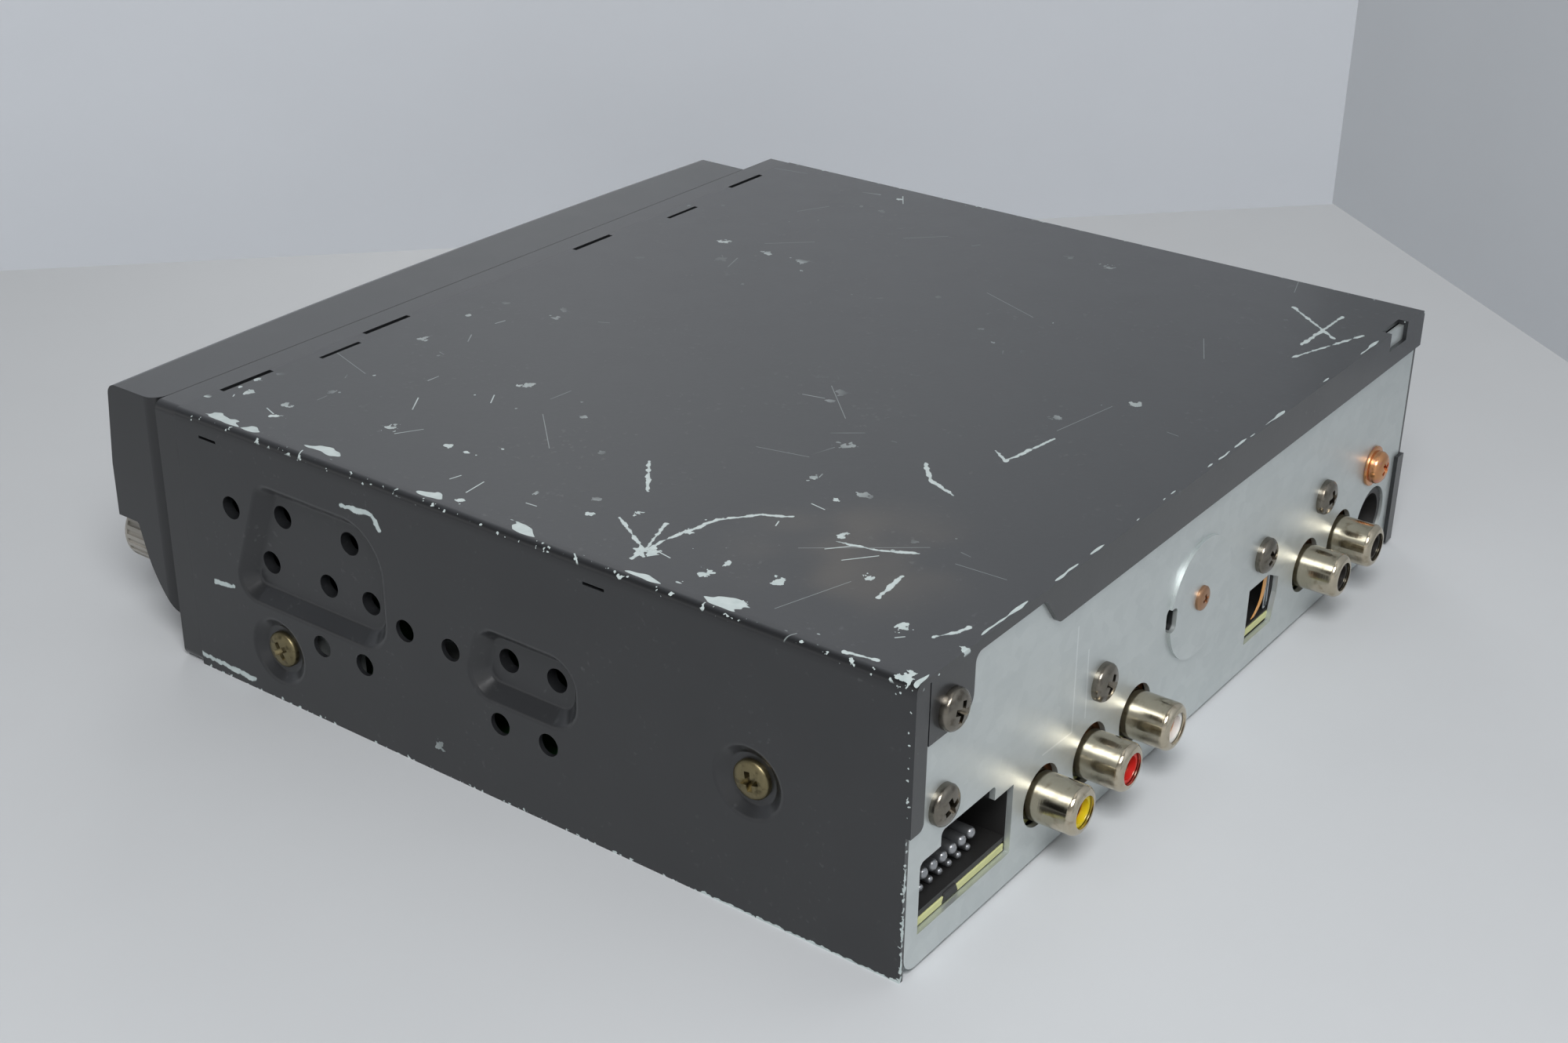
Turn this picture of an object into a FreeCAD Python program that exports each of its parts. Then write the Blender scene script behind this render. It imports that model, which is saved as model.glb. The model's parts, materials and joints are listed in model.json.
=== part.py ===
import FreeCAD, Part
import math
import os
import re
import Sketcher

# Car disc player for a one-high dash slot.
# X is the width and +X is on the right of someone facing the front.
# Y is the depth: the front is towards -Y and the rear panel with its jacks towards +Y.
# Z is up. The origin is the middle of the base of the metal case. Sizes are in millimetres.

SIZES = {
    # metal case
    "case_width": 178, "case_height": 50, "case_depth": 150, "cover_thick": 0.8, "cover_bend": 1.2,
    "floor_thick": 1.0, "panel_thick": 1.0, "nest_gap": 0.1,
    # flange of the cover that wraps the rear panel
    "side_flange": 3.3, "side_flange_low": 25.2, "far_flange": 2.8,
    "far_flange_top": 19.6, "rear_slot_wide": 8, "rear_slot_deep": 2.0, "tab_side": 3.6, "tab_wide": 11.5,
    "ramp_side": 34.4, "ramp_run": 4.4, "flange_drop": 7.4, "flange_notch_drop": 1.8, "tab_drop": 11.3,
    "rear_slot_in": 12.4, "rear_slot_drop": 3.7,
    # notches and slits along the cover's front edge
    "notch_wide": 11.4, "notch_deep": 1.1, "notch_three": -19.0, "slit_wide": 9.6, "slit_deep": 0.9,
    "slit_back": 2.6, "notch_side": 15.8, "notch_in": 49.6, "notch_far": 18.2, "slit_side": 35.6,
    "slit_far": 43.7,
    # pressed recesses and holes in each side
    "recess_deep": 2.6, "recess_slope": 42, "recess_low": 18.2, "recess_back": -26.8,
    "recess_front_low": -64.0, "recess_front_top": -55.6, "bay_top": 31.4, "bay_low": 18.4,
    "bay_back": 14.4, "bay_front_low": -9.6, "bay_front_top": -6.0, "thread_radius": 2.1,
    "collar_radius": 2.9, "collar_long": 1.3, "lower_row": 25.3, "lone_hole_y": -62.6, "upper_first": -52.7,
    "upper_pitch": 16.0, "lower_first": -56.6, "lower_middle": -42.6, "lower_last": -32.6,
    "bay_first": -1.8, "bay_pitch": 10.1, "vent_radius": 2.0, "vent_low": 14.8, "vent_high": 24.8,
    "vent_first": -42.7, "vent_pitch": 10.2, "lance_long": 4.2, "lance_wide": 0.5, "lance_front": -67.0,
    "lance_rear": 18.6, "recess_drop": 8.6, "row_drop": 6.3, "lone_drop": 6.5, "lance_drop": 3.9,
    # side screws and their round dimples
    "dimple_radius": 6.2, "dimple_deep": 1.6, "dimple_slope": 50, "mouth_round": 1.1,
    "floor_round": 0.8, "front_screw_y": -54.0,
    "front_screw_z": 9.8, "rear_screw_y": 47.4, "rear_screw_z": 23.4, "head_radius": 3.3, "head_high": 2.0,
    "shank_radius": 1.45, "shank_long": 5.0, "screw_gap": 0.06, "cross_wide": 0.9, "cross_long": 3.6,
    "cross_deep": 1.2,
    # chassis tray
    "wall_thick": 0.9, "wall_high": 9.0, "wall_front": -69.0, "tab_high": 28.5, "tab_half": 7.0,
    "bright_tab_y": -43.0, "bright_tab_high": 16.6, "tower_thick": 1.2, "tower_half": 5.0,
    "shelf_thick": 1.0, "shelf_long": 11.5, "standoff_radius": 3.2, "standoff_front": -52.0,
    "standoff_rear": 55.0, "tower_off": 5.6, "standoff_in": 17.0, "shelf_drop": 3.0,
    # rear panel
    "panel_low": 0.7, "panel_lip": 8.0, "lip_half": 52.0, "disc_radius": 11.0, "disc_raise": 0.6,
    "disc_z": 25.2, "key_slot_x": 10.2, "key_slot_high": 4.4, "key_slot_wide": 2.6, "window_z": 11.4,
    "window_wide": 12.4, "window_high": 11.0, "window_room": 18.2,
    # round jacks
    "jack_z": 12.0, "jack_pitch": 15.2, "jack_hole": 5.3, "jack_radius": 4.15, "jack_wall": 0.45,
    "jack_reach": 7.8, "jack_lip": 2.75, "insert_radius": 3.65, "insert_bore": 2.05, "contact_radius": 2.0,
    "contact_bore": 1.62, "block_top": 18.2, "block_deep": 11.0, "block_side": 6.4, "jack_back": 1.0,
    "jack_side": 8.8, "jack_flare": 1.4, "jack_foot": 4.6, "jack_round": 1.2,
    # power socket
    "socket_low": 6.2, "socket_step": 18.6, "socket_top": 21.2, "socket_wall": 1.2, "socket_deep": 13.0,
    "socket_floor": 1.0, "socket_roof": 22.4, "pin_count": 6, "pin_pitch": 2.6, "upper_pins": 12.9,
    "lower_pins": 10.2, "upper_pin_radius": 0.85, "lower_pin_radius": 0.55, "pin_reach": 8.2,
    "socket_side": 4.2, "socket_long": 25.6, "socket_ledge": 5.4, "pin_in": 6.8,
    # round socket
    "round_z": 9.8, "round_hole": 6.5, "round_radius": 6.2, "round_bore": 4.9, "round_deep": 11.0,
    "round_floor": 3.0, "round_in": 12.2, "round_room": 30.6,
    # rear screws
    "jack_screw_z": 24.3, "low_screw_z": 26.3, "mid_screw_z": 22.5, "boss_head": 2.2, "boss_high": 0.9,
    "bolt_z": 22.1, "bolt_radius": 3.7, "bolt_high": 2.6, "washer_radius": 4.4, "washer_thick": 0.6,
    "bolt_shank": 1.95, "bolt_long": 8.0, "jack_screw_in": 17.3, "low_screw_in": 9.0, "tab_screw_drop": 7.6,
    "black_screw_in": 5.0, "mid_screw_in": 2.0, "bolt_in": 2.6,
    # main board and what stands on it
    "board_level": 6.2, "board_thick": 1.6, "board_front": -58.0, "can_radius": 5.0,
    "can_in": 51.0, "can_y": 40.0, "can_pitch": 13.0, "chip_wide": 28.0, "chip_high": 3.0, "chip_y": 15.0,
    "board_screw_head": 2.7, "board_screw_high": 1.6, "board_in": 8.4, "can_drop": 11.0,
    # mechanism frame
    "mech_thick": 1.0, "mech_front": -68.0, "mech_back": 57.0, "ear_half": 6.0,
    "damper_front": -17.0, "damper_rear": 42.0, "damper_radius": 4.4, "damper_neck": 2.7, "damper_gap": 0.3,
    "damper_bore": 1.7, "damper_cap": 2.6, "side_room": 21.0, "mech_drop": 27.0,
    "mech_headroom": 1.4, "ear_gap": 1.0, "damper_off": 7.6, "disc_rise": 17.0,
    # loading drive
    "roller_y": -60.0, "roller_radius": 4.6, "roller_waist": 3.7, "shaft_radius": 1.5,
    "run_gap": 0.06, "gear_module": 0.6, "tooth_rise": 0.5, "tooth_drop": 0.75, "tip_half": 0.21,
    "root_half": 0.6, "roller_teeth": 18, "idler_teeth": 20, "small_teeth": 10, "big_teeth": 30,
    "motor_teeth": 10, "train_tilt": 6, "gear_thick": 2.0, "gear_off": 1.0, "gear_step": 0.4,
    "axle_radius": 1.0, "loader_radius": 6.0, "loader_long": 16.0, "guide_thick": 2.2, "guide_front": -69.2,
    "guide_back": -54.0, "roller_end": 8.0, "roller_rise": 11.6, "guide_rise": 1.8,
    # disc drive
    "spindle_y": -10.0, "spindle_radius": 12.0, "spindle_high": 9.0, "spindle_shaft": 1.0,
    "table_radius": 14.5, "table_thick": 1.5, "table_gap": 0.4, "hub_radius": 7.3, "hub_rise": 1.4,
    "hub_tip": 6.2, "arm_thick": 1.0, "arm_pivot_y": 50.0, "arm_bar": 6.0,
    "arm_nose": 20.0, "pivot_radius": 1.4, "clamp_radius": 12.0, "clamp_neck": 3.9,
    "clamp_button": 5.5, "clamp_cup": 8.4, "clamp_cup_deep": 1.5, "arm_rise": 23.2,
    # laser sled
    "sled_inner": 16.2, "sled_long": 16.0, "sled_high": 7.0, "rod_radius": 1.5,
    "rod_front": -30.0, "rod_rear": 10.0, "rod_start": -22.0, "post_wide": 5.0, "lens_x": 24.0,
    "lens_radius": 3.0, "lens_high": 2.4, "screw_y": 20.0, "screw_core": 1.2, "thread_pitch": 3.0,
    "thread_high": 0.55, "nut_gap": 0.35, "nut_wide": 6.0, "tracker_radius": 6.0, "tracker_long": 16.0,
    "screw_journal": 0.9, "rod_rise": 7.4, "sled_rise": 5.0,
    # front frame
    "band_deep": 5.0, "band_wall": 1.8, "face_wall": 2.5, "corner_round": 1.6, "spigot_deep": 5.0,
    "spigot_wall": 1.5, "hinge_y": -82.6, "hinge_pin": 1.0, "hinge_gap": 0.05, "arm_wide": 2.4,
    "arm_high": 2.0, "hinge_low": 17.0, "pin_high": 2.2, "spigot_lip": 1.1, "slot_lip": 0.4,
    "slot_spare": 1.0, "hinge_in": 4.1, "hinge_drop": 4.4,
    # faceplate
    "face_gap": 0.5, "nose_y": -97.0, "ledge_y": -89.4,
    "chin_y": -86.7, "chin_z": 13.7, "face_low": 6.4, "chin_round": 24, "nose_sag": 2.4, "shell_wall": 1.7,
    "cavity_front": -92.4, "cavity_ledge": -87.4, "cavity_chin": -84.6, "cavity_low": 9.6,
    "tunnel_wall": 1.2, "back_thick": 1.2, "back_gap": 0.1, "heel_round": 3.0, "face_inset": 0.5,
    "face_drop": 0.2, "nose_drop": 15.8, "ledge_drop": 26.0, "mouth_drop": 2.0, "mouth_in": 26.5,
    "step_wide": 10.7,
    # keys on the faceplate
    "key_low": 10.8, "key_proud": 0.8, "key_gap": 0.35, "key_back": -82.6, "source_radius": 4.2,
    "source_back": -89.0, "rocker_long": 24.0, "rocker_high": 8.6, "rocker_back": -91.0, "eject_long": 11.0,
    "eject_high": 4.4, "view_high": 9.4, "glass_back": -93.4, "panel_deep": 1.6, "knob_front": -100.2,
    "knob_back": -89.7, "knob_shaft": 3.0, "shaft_in": -83.0, "knob_flutes": 24, "flute_radius": 0.45,
    "release_high": 4.2, "release_front": -91.0, "stem_wide": 4.0, "stem_high": 2.6, "stem_gap": 0.3,
    "side_shank": 4.0, "socket_back": 3.0, "damper_lift": 0.1, "damper_screw_long": 8.5, "arm_play": 0.2,
    "clamp_thick": 2.4, "brow_slope": 5.5, "brow_round": 2.2, "cavity_turn": 14.0, "mouth_high": 4.2,
    "rocker_pin": 0.7, "rocker_y": -93.4, "plate_low": 10.5, "arm_room": 0.3, "key_rim": 0.7,
    "release_room": 2.0, "knob_crown": 0.9, "row_in": 22.5, "row_out": 24.5, "key_space": 2.0,
    "ledge_lip": 4.2, "source_in": 19.0, "source_drop": 7.0, "rocker_in": 24.5, "rocker_drop": 11.2,
    "eject_in": 16.5, "window_in": 28.5, "window_out": 43.5, "view_drop": 11.6, "knob_in": 10.5,
    "knob_share": 0.37356, "knob_lift": 1.5, "collar_rim": 0.8, "release_in": 0.3, "release_gap": 0.5,
}

# Places and sizes that follow from the ones above.
PLACES = {
    "face_half": "case_width / 2 - face_inset",
    "hinge_x": "face_half - hinge_in",
    "step_x": "step_wide - face_half",
    "tab_outer": "case_width / 2 - tab_side",
    "tab_inner": "tab_outer - tab_wide",
    "flange_ramp_end": "case_width / 2 - ramp_side",
    "flange_ramp": "flange_ramp_end - ramp_run",
    "rear_slot_x": "rear_slot_in - case_width / 2",
    "notch_one": "case_width / 2 - notch_side",
    "notch_two": "case_width / 2 - notch_in",
    "notch_four": "notch_far - case_width / 2",
    "slit_one": "case_width / 2 - slit_side",
    "slit_two": "slit_far - case_width / 2",
    "mech_half": "case_width / 2 - side_room",
    "damper_x": "mech_half + damper_off",
    "tower_x": "damper_x + tower_off",
    "ear_reach": "tower_x - ear_gap",
    "roller_half": "mech_half - roller_end",
    "standoff_x": "case_width / 2 - standoff_in",
    "board_half": "case_width / 2 - board_in",
    "socket_outer": "case_width / 2 - socket_side",
    "socket_inner": "socket_outer - socket_long",
    "socket_step_x": "socket_outer - socket_ledge",
    "socket_notch_x": "socket_inner + socket_ledge",
    "pin_first": "socket_inner + pin_in",
    "yellow_x": "socket_inner - jack_side",
    "jack_screw_x": "yellow_x - jack_screw_in",
    "low_screw_x": "case_width / 2 - low_screw_in",
    "round_x": "round_in - case_width / 2",
    "black_x": "round_x + round_room",
    "black_screw_x": "black_x - black_screw_in",
    "window_x": "black_x + window_room",
    "mid_screw_x": "window_x + mid_screw_in",
    "bolt_x": "round_x + bolt_in",
    "key_first": "row_in - face_half",
    "key_pitch": "(face_half * 2 - row_in - row_out + key_space) / 6",
    "key_long": "key_pitch - key_space",
    "source_x": "source_in - face_half",
    "rocker_x": "face_half - rocker_in",
    "eject_x": "face_half - eject_in",
    "window_left": "window_in - face_half",
    "window_right": "face_half - window_out",
    "knob_x": "face_half - knob_in",
    "mouth_half": "face_half - mouth_in",
    "slot_half": "mouth_half + slot_spare",
    "release_left": "release_in - face_half",
    "release_right": "step_x - release_gap",
    "flange_edge": "case_height - flange_drop",
    "flange_notch_edge": "case_height - flange_notch_drop",
    "flange_tab_edge": "case_height - tab_drop",
    "rear_slot_low": "case_height - rear_slot_drop",
    "lance_z": "case_height - lance_drop",
    "recess_top": "case_height - recess_drop",
    "upper_row": "recess_top - row_drop",
    "lone_hole_z": "recess_top - lone_drop",
    "tab_screw_z": "case_height - tab_screw_drop",
    "mech_level": "case_height - mech_drop",
    "mech_top": "case_height - mech_headroom",
    "shelf_level": "mech_level - shelf_drop",
    "disc_level": "mech_level + disc_rise",
    "arm_level": "mech_level + arm_rise",
    "roller_z": "mech_level + roller_rise",
    "guide_low": "disc_level + guide_rise",
    "rod_level": "mech_level + rod_rise",
    "sled_low": "mech_level + sled_rise",
    "can_x": "case_width / 2 - can_in",
    "can_high": "mech_level - can_drop",
    "face_top": "case_height - face_drop",
    "mouth_low": "disc_level - mouth_drop",
    "slot_low": "mouth_low - slot_lip",
    "slot_high": "mouth_high + slot_lip * 2",
    "step_z": "mouth_low + slot_lip",
    "release_low": "step_z + release_gap",
    "eject_low": "mouth_low",
    "view_low": "mouth_low - view_drop",
    "rocker_low": "mouth_low - rocker_drop",
    "source_z": "mouth_low - source_drop",
    "nose_z": "face_top - nose_drop",
    "ledge_z": "face_top - ledge_drop",
    "cavity_rise": "ledge_z + shell_wall",
    "key_high": "ledge_z - key_low - ledge_lip",
    "knob_radius": "(ledge_z - face_low) * knob_share",
    "collar_out": "knob_radius + collar_rim",
    "knob_z": "(ledge_z + face_low) / 2 + knob_lift",
    "hinge_top": "face_top - hinge_drop",
}

HALF = "(case_width / 2)"
REAR = "(case_depth / 2)"
FRONT = "(0 - case_depth / 2)"
INSIDE = f"({HALF} - cover_thick)"
BOARD_TOP = "(board_level + board_thick)"
BAND_FRONT = f"({FRONT} - band_deep)"
FACE_BACK = f"({BAND_FRONT} - face_gap)"

doc = FreeCAD.newDocument("DiscPlayer")
sheet = doc.addObject("Spreadsheet::Sheet", "Sizes")
PARTS = []


# Sizes and places go into the sheet, one row each.
def fill_sheet():
    rows = list(SIZES.items()) + [(name, "=" + formula) for name, formula in PLACES.items()]
    for row, (name, value) in enumerate(rows, start=1):
        sheet.set(f"A{row}", name)
        sheet.set(f"B{row}", str(value))
        sheet.setAlias(f"B{row}", name)
    doc.recompute()


def sized(formula):
    def point_at_sheet(word):
        name = word.group()
        return "Sizes." + name if name in SIZES or name in PLACES else name

    return re.sub(r"[a-z][a-z_]+", point_at_sheet, str(formula))


def tie(thing, setting, formula):
    thing.setExpression(setting, sized(formula))


def number(formula):
    return float(sheet.evalExpression(sized(formula)))


def place(thing, x="0", y="0", z="0"):
    tie(thing, "Placement.Base.x", x)
    tie(thing, "Placement.Base.y", y)
    tie(thing, "Placement.Base.z", z)


def keep(thing, label):
    thing.Label = label
    PARTS.append(thing)
    return thing


# Solids that are placed by their two corners, by an axis, or joined from others.
def block(name, x, y, z):
    item = doc.addObject("Part::Box", name)
    for setting, (low, high) in zip(("Length", "Width", "Height"), (x, y, z)):
        tie(item, setting, f"({high}) - ({low})")
    place(item, x[0], y[0], z[0])
    return item


TURNS = {
    "x": FreeCAD.Rotation(FreeCAD.Vector(0, 1, 0), 90),
    "y": FreeCAD.Rotation(FreeCAD.Vector(1, 0, 0), -90),
    "z": FreeCAD.Rotation(),
}


def rod(name, axis, radius, length, x="0", y="0", z="0"):
    item = doc.addObject("Part::Cylinder", name)
    item.Placement = FreeCAD.Placement(FreeCAD.Vector(), TURNS[axis])
    tie(item, "Radius", radius)
    tie(item, "Height", length)
    place(item, x, y, z)
    return item


def taper(name, axis, radius, end_radius, length, x="0", y="0", z="0"):
    item = doc.addObject("Part::Cone", name)
    item.Placement = FreeCAD.Placement(FreeCAD.Vector(), TURNS[axis])
    tie(item, "Radius1", radius)
    tie(item, "Radius2", end_radius)
    tie(item, "Height", length)
    place(item, x, y, z)
    return item


def join(name, pieces):
    item = doc.addObject("Part::MultiFuse", name)
    item.Shapes = pieces
    item.Refine = True
    return item


def carve(name, base, tools):
    item = doc.addObject("Part::Cut", name)
    item.Base = base
    item.Tool = tools[0] if len(tools) == 1 else join(name + "Tools", tools)
    return item


def overlap(name, base, tool):
    item = doc.addObject("Part::Common", name)
    item.Base = base
    item.Tool = tool
    return item


def group(name, pieces):
    item = doc.addObject("Part::Compound", name)
    item.Links = pieces
    return item


# Sketched bodies. A corner of an outline is (x, y) or (x, y, radius), each a formula.
def new_body(name):
    return doc.addObject("PartDesign::Body", name)


def origin_part(body, role):
    return next(item for item in body.Origin.OriginFeatures if item.Role == role)


def sketch(body, name, plane, offset="0"):
    item = body.newObject("Sketcher::SketchObject", name)
    item.AttachmentSupport = [(origin_part(body, plane), "")]
    item.MapMode = "FlatFace"
    tie(item, "AttachmentOffset.Base.z", offset)
    return item


def bind(item, kind, arguments, formula):
    index = item.addConstraint(Sketcher.Constraint(kind, *arguments, number(formula)))
    tie(item, f"Constraints[{index}]", formula)


def draw(item, corners):
    points = [FreeCAD.Vector(number(corner[0]), number(corner[1]), 0) for corner in corners]
    count = len(points)
    starts, ends, arcs = [], [], []
    for index, corner in enumerate(corners):
        point = points[index]
        back = (points[index - 1] - point).normalize()
        ahead = (points[(index + 1) % count] - point).normalize()
        if len(corner) == 2:
            starts.append(point)
            ends.append(point)
            arcs.append(None)
            continue
        radius = number(corner[2])
        half = back.getAngle(ahead) / 2
        reach = radius / math.tan(half)
        middle = (back + ahead).normalize() * (radius / math.sin(half))
        starts.append(point + ahead * reach)
        ends.append(point + back * reach)
        arcs.append((point + middle, radius, back.cross(ahead).z < 0))
    lines = [item.addGeometry(Part.LineSegment(starts[i], ends[(i + 1) % count])) for i in range(count)]
    for index, corner in enumerate(corners):
        before, after = lines[index - 1], lines[index]
        if arcs[index] is None:
            item.addConstraint(Sketcher.Constraint("Coincident", before, 2, after, 1))
            bind(item, "DistanceX", (-1, 1, after, 1), corner[0])
            bind(item, "DistanceY", (-1, 1, after, 1), corner[1])
            continue
        centre, radius, leftward = arcs[index]
        ring = Part.Circle(centre, FreeCAD.Vector(0, 0, 1), radius)
        first, last = (ends[index], starts[index]) if leftward else (starts[index], ends[index])
        arc = item.addGeometry(Part.ArcOfCircle(ring, ring.parameter(first), ring.parameter(last)))
        pin = item.addGeometry(Part.Point(points[index]), True)
        item.addConstraint(Sketcher.Constraint("Tangent", before, 2, arc, 1 if leftward else 2))
        item.addConstraint(Sketcher.Constraint("Tangent", after, 1, arc, 2 if leftward else 1))
        item.addConstraint(Sketcher.Constraint("PointOnObject", pin, 1, before))
        item.addConstraint(Sketcher.Constraint("PointOnObject", pin, 1, after))
        bind(item, "DistanceX", (-1, 1, pin, 1), corner[0])
        bind(item, "DistanceY", (-1, 1, pin, 1), corner[1])
        bind(item, "Radius", (arc,), corner[2])


def draw_box(item, x, y, radius=None):
    corners = [(x[0], y[0]), (x[1], y[0]), (x[1], y[1]), (x[0], y[1])]
    draw(item, [corner + (radius,) for corner in corners] if radius else corners)


def draw_circle(item, x, y, radius):
    ring = item.addGeometry(Part.Circle(FreeCAD.Vector(number(x), number(y), 0), FreeCAD.Vector(0, 0, 1),
                                        number(radius)))
    bind(item, "DistanceX", (-1, 1, ring, 3), x)
    bind(item, "DistanceY", (-1, 1, ring, 3), y)
    bind(item, "Radius", (ring,), radius)


def pad(body, profile, length, flip=False, both=False, slope=None):
    item = body.newObject("PartDesign::Pad", profile.Name + "Pad")
    item.Profile = profile
    tie(item, "Length", length)
    item.Reversed = flip
    if both:
        item.SideType = "Symmetric"
    if slope:
        tie(item, "TaperAngle", slope)
    return item


def pocket(body, profile, length, flip=False, both=False, slope=None):
    item = body.newObject("PartDesign::Pocket", profile.Name + "Pocket")
    item.Profile = profile
    tie(item, "Length", length)
    item.Reversed = flip
    if both:
        item.SideType = "Symmetric"
    if slope:
        tie(item, "TaperAngle", slope)
    return item


def turn(name, corners):
    # a body spun about its own Y axis, drawn as (radius, y) corners
    body = new_body(name)
    profile = sketch(body, name + "Profile", "XY_Plane")
    draw(profile, corners)
    item = body.newObject("PartDesign::Revolution", name + "Turn")
    item.Profile = profile
    item.ReferenceAxis = (origin_part(body, "Y_Axis"), [""])
    item.Angle = 360
    return body


# Casing
def make_top_cover():
    body = new_body("Cover")
    wrap = sketch(body, "CoverSection", "XZ_Plane")
    draw(wrap, [(f"0 - {HALF}", "0"), (f"0 - {HALF}", "case_height", "cover_bend"),
                (HALF, "case_height", "cover_bend"), (HALF, "0"), (INSIDE, "0"),
                (INSIDE, "case_height - cover_thick", "cover_bend - cover_thick"),
                (f"0 - {INSIDE}", "case_height - cover_thick", "cover_bend - cover_thick"),
                (f"0 - {INSIDE}", "0")])
    pad(body, wrap, "case_depth", both=True)
    flange = sketch(body, "CoverFlange", "XZ_Plane", f"0 - {REAR}")
    side = f"{HALF} - side_flange"
    draw(flange, [(HALF, "side_flange_low"), (HALF, "case_height", "cover_bend"),
                  (f"0 - {HALF}", "case_height", "cover_bend"), (f"0 - {HALF}", "flange_edge"),
                  ("flange_ramp", "flange_edge", "2"), ("flange_ramp_end", "flange_notch_edge", "1.6"),
                  ("tab_inner", "flange_notch_edge", "1.6"), ("tab_inner", "flange_tab_edge", "3.4"),
                  ("tab_outer", "flange_tab_edge"), ("tab_outer", "case_height - 1"),
                  (side, "case_height - 1"), (side, "side_flange_low", "1.2")])
    pad(body, flange, "cover_thick", flip=True)
    strip = sketch(body, "CoverFarFlange", "XZ_Plane", f"0 - {REAR}")
    draw_box(strip, (f"0 - {HALF}", f"far_flange - {HALF}"), ("panel_low", "far_flange_top"))
    pad(body, strip, "cover_thick", flip=True)
    tab_hole = sketch(body, "CoverTabHole", "XZ_Plane", f"0 - {REAR} - cover_thick")
    draw_circle(tab_hole, "low_screw_x", "tab_screw_z", "shank_radius + screw_gap")
    pocket(body, tab_hole, "cover_thick * 2", flip=True)
    rear_slot = sketch(body, "CoverRearSlot", "XZ_Plane", f"0 - {REAR} - cover_thick")
    draw_box(rear_slot, ("rear_slot_x - rear_slot_wide / 2", "rear_slot_x + rear_slot_wide / 2"),
             ("rear_slot_low", "case_height + 1"))
    pocket(body, rear_slot, "rear_slot_deep", flip=True)
    notches = sketch(body, "CoverNotches", "XY_Plane", "case_height")
    for middle in ("notch_one", "notch_two", "notch_three", "notch_four"):
        draw_box(notches, (f"{middle} - notch_wide / 2", f"{middle} + notch_wide / 2"),
                 (f"{FRONT} - 1", f"{FRONT} + notch_deep"))
    for middle in ("slit_one", "slit_two"):
        draw_box(notches, (f"{middle} - slit_wide / 2", f"{middle} + slit_wide / 2"),
                 (f"{FRONT} + slit_back", f"{FRONT} + slit_back + slit_deep"))
    pocket(body, notches, "cover_thick * 2")
    press_sides(body)
    return keep(body, "top_cover")


# Each side has two pressed recesses, two screw dimples, threaded collars and plain holes.
def recess_corners(grow):
    return [(f"recess_front_low - {grow}", f"recess_low - {grow}", f"4 + {grow}"),
            (f"recess_back + {grow}", f"recess_low - {grow}", f"6 + {grow}"),
            (f"recess_back + {grow}", f"recess_top + {grow}", f"9 + {grow}"),
            (f"recess_front_top - {grow}", f"recess_top + {grow}", f"3.5 + {grow}")]


def bay_corners(grow):
    return [(f"bay_front_low - {grow}", f"bay_low - {grow}", f"4.4 + {grow}"),
            (f"bay_back + {grow}", f"bay_low - {grow}", f"5.4 + {grow}"),
            (f"bay_back + {grow}", f"bay_top + {grow}", f"5.4 + {grow}"),
            (f"bay_front_top - {grow}", f"bay_top + {grow}", f"4.4 + {grow}")]


def threaded_places():
    floor = [("upper_first", "upper_row"), ("upper_first + upper_pitch", "upper_row"),
             ("lower_first", "lower_row"), ("lower_middle", "lower_row"), ("lower_last", "lower_row"),
             ("bay_first", "lower_row"), ("bay_first + bay_pitch", "lower_row")]
    return floor


PRESSINGS = [
    ("Recess", "recess_deep", "recess_slope"),
    ("Bay", "recess_deep", "recess_slope"),
    ("FrontDimple", "dimple_deep", "dimple_slope"),
    ("RearDimple", "dimple_deep", "dimple_slope"),
]


def press_outline(item, name, grow):
    if name == "Recess":
        draw(item, recess_corners(grow))
    elif name == "Bay":
        draw(item, bay_corners(grow))
    elif name == "FrontDimple":
        draw_circle(item, "front_screw_y", "front_screw_z", f"dimple_radius + {grow}")
    else:
        draw_circle(item, "rear_screw_y", "rear_screw_z", f"dimple_radius + {grow}")


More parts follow.
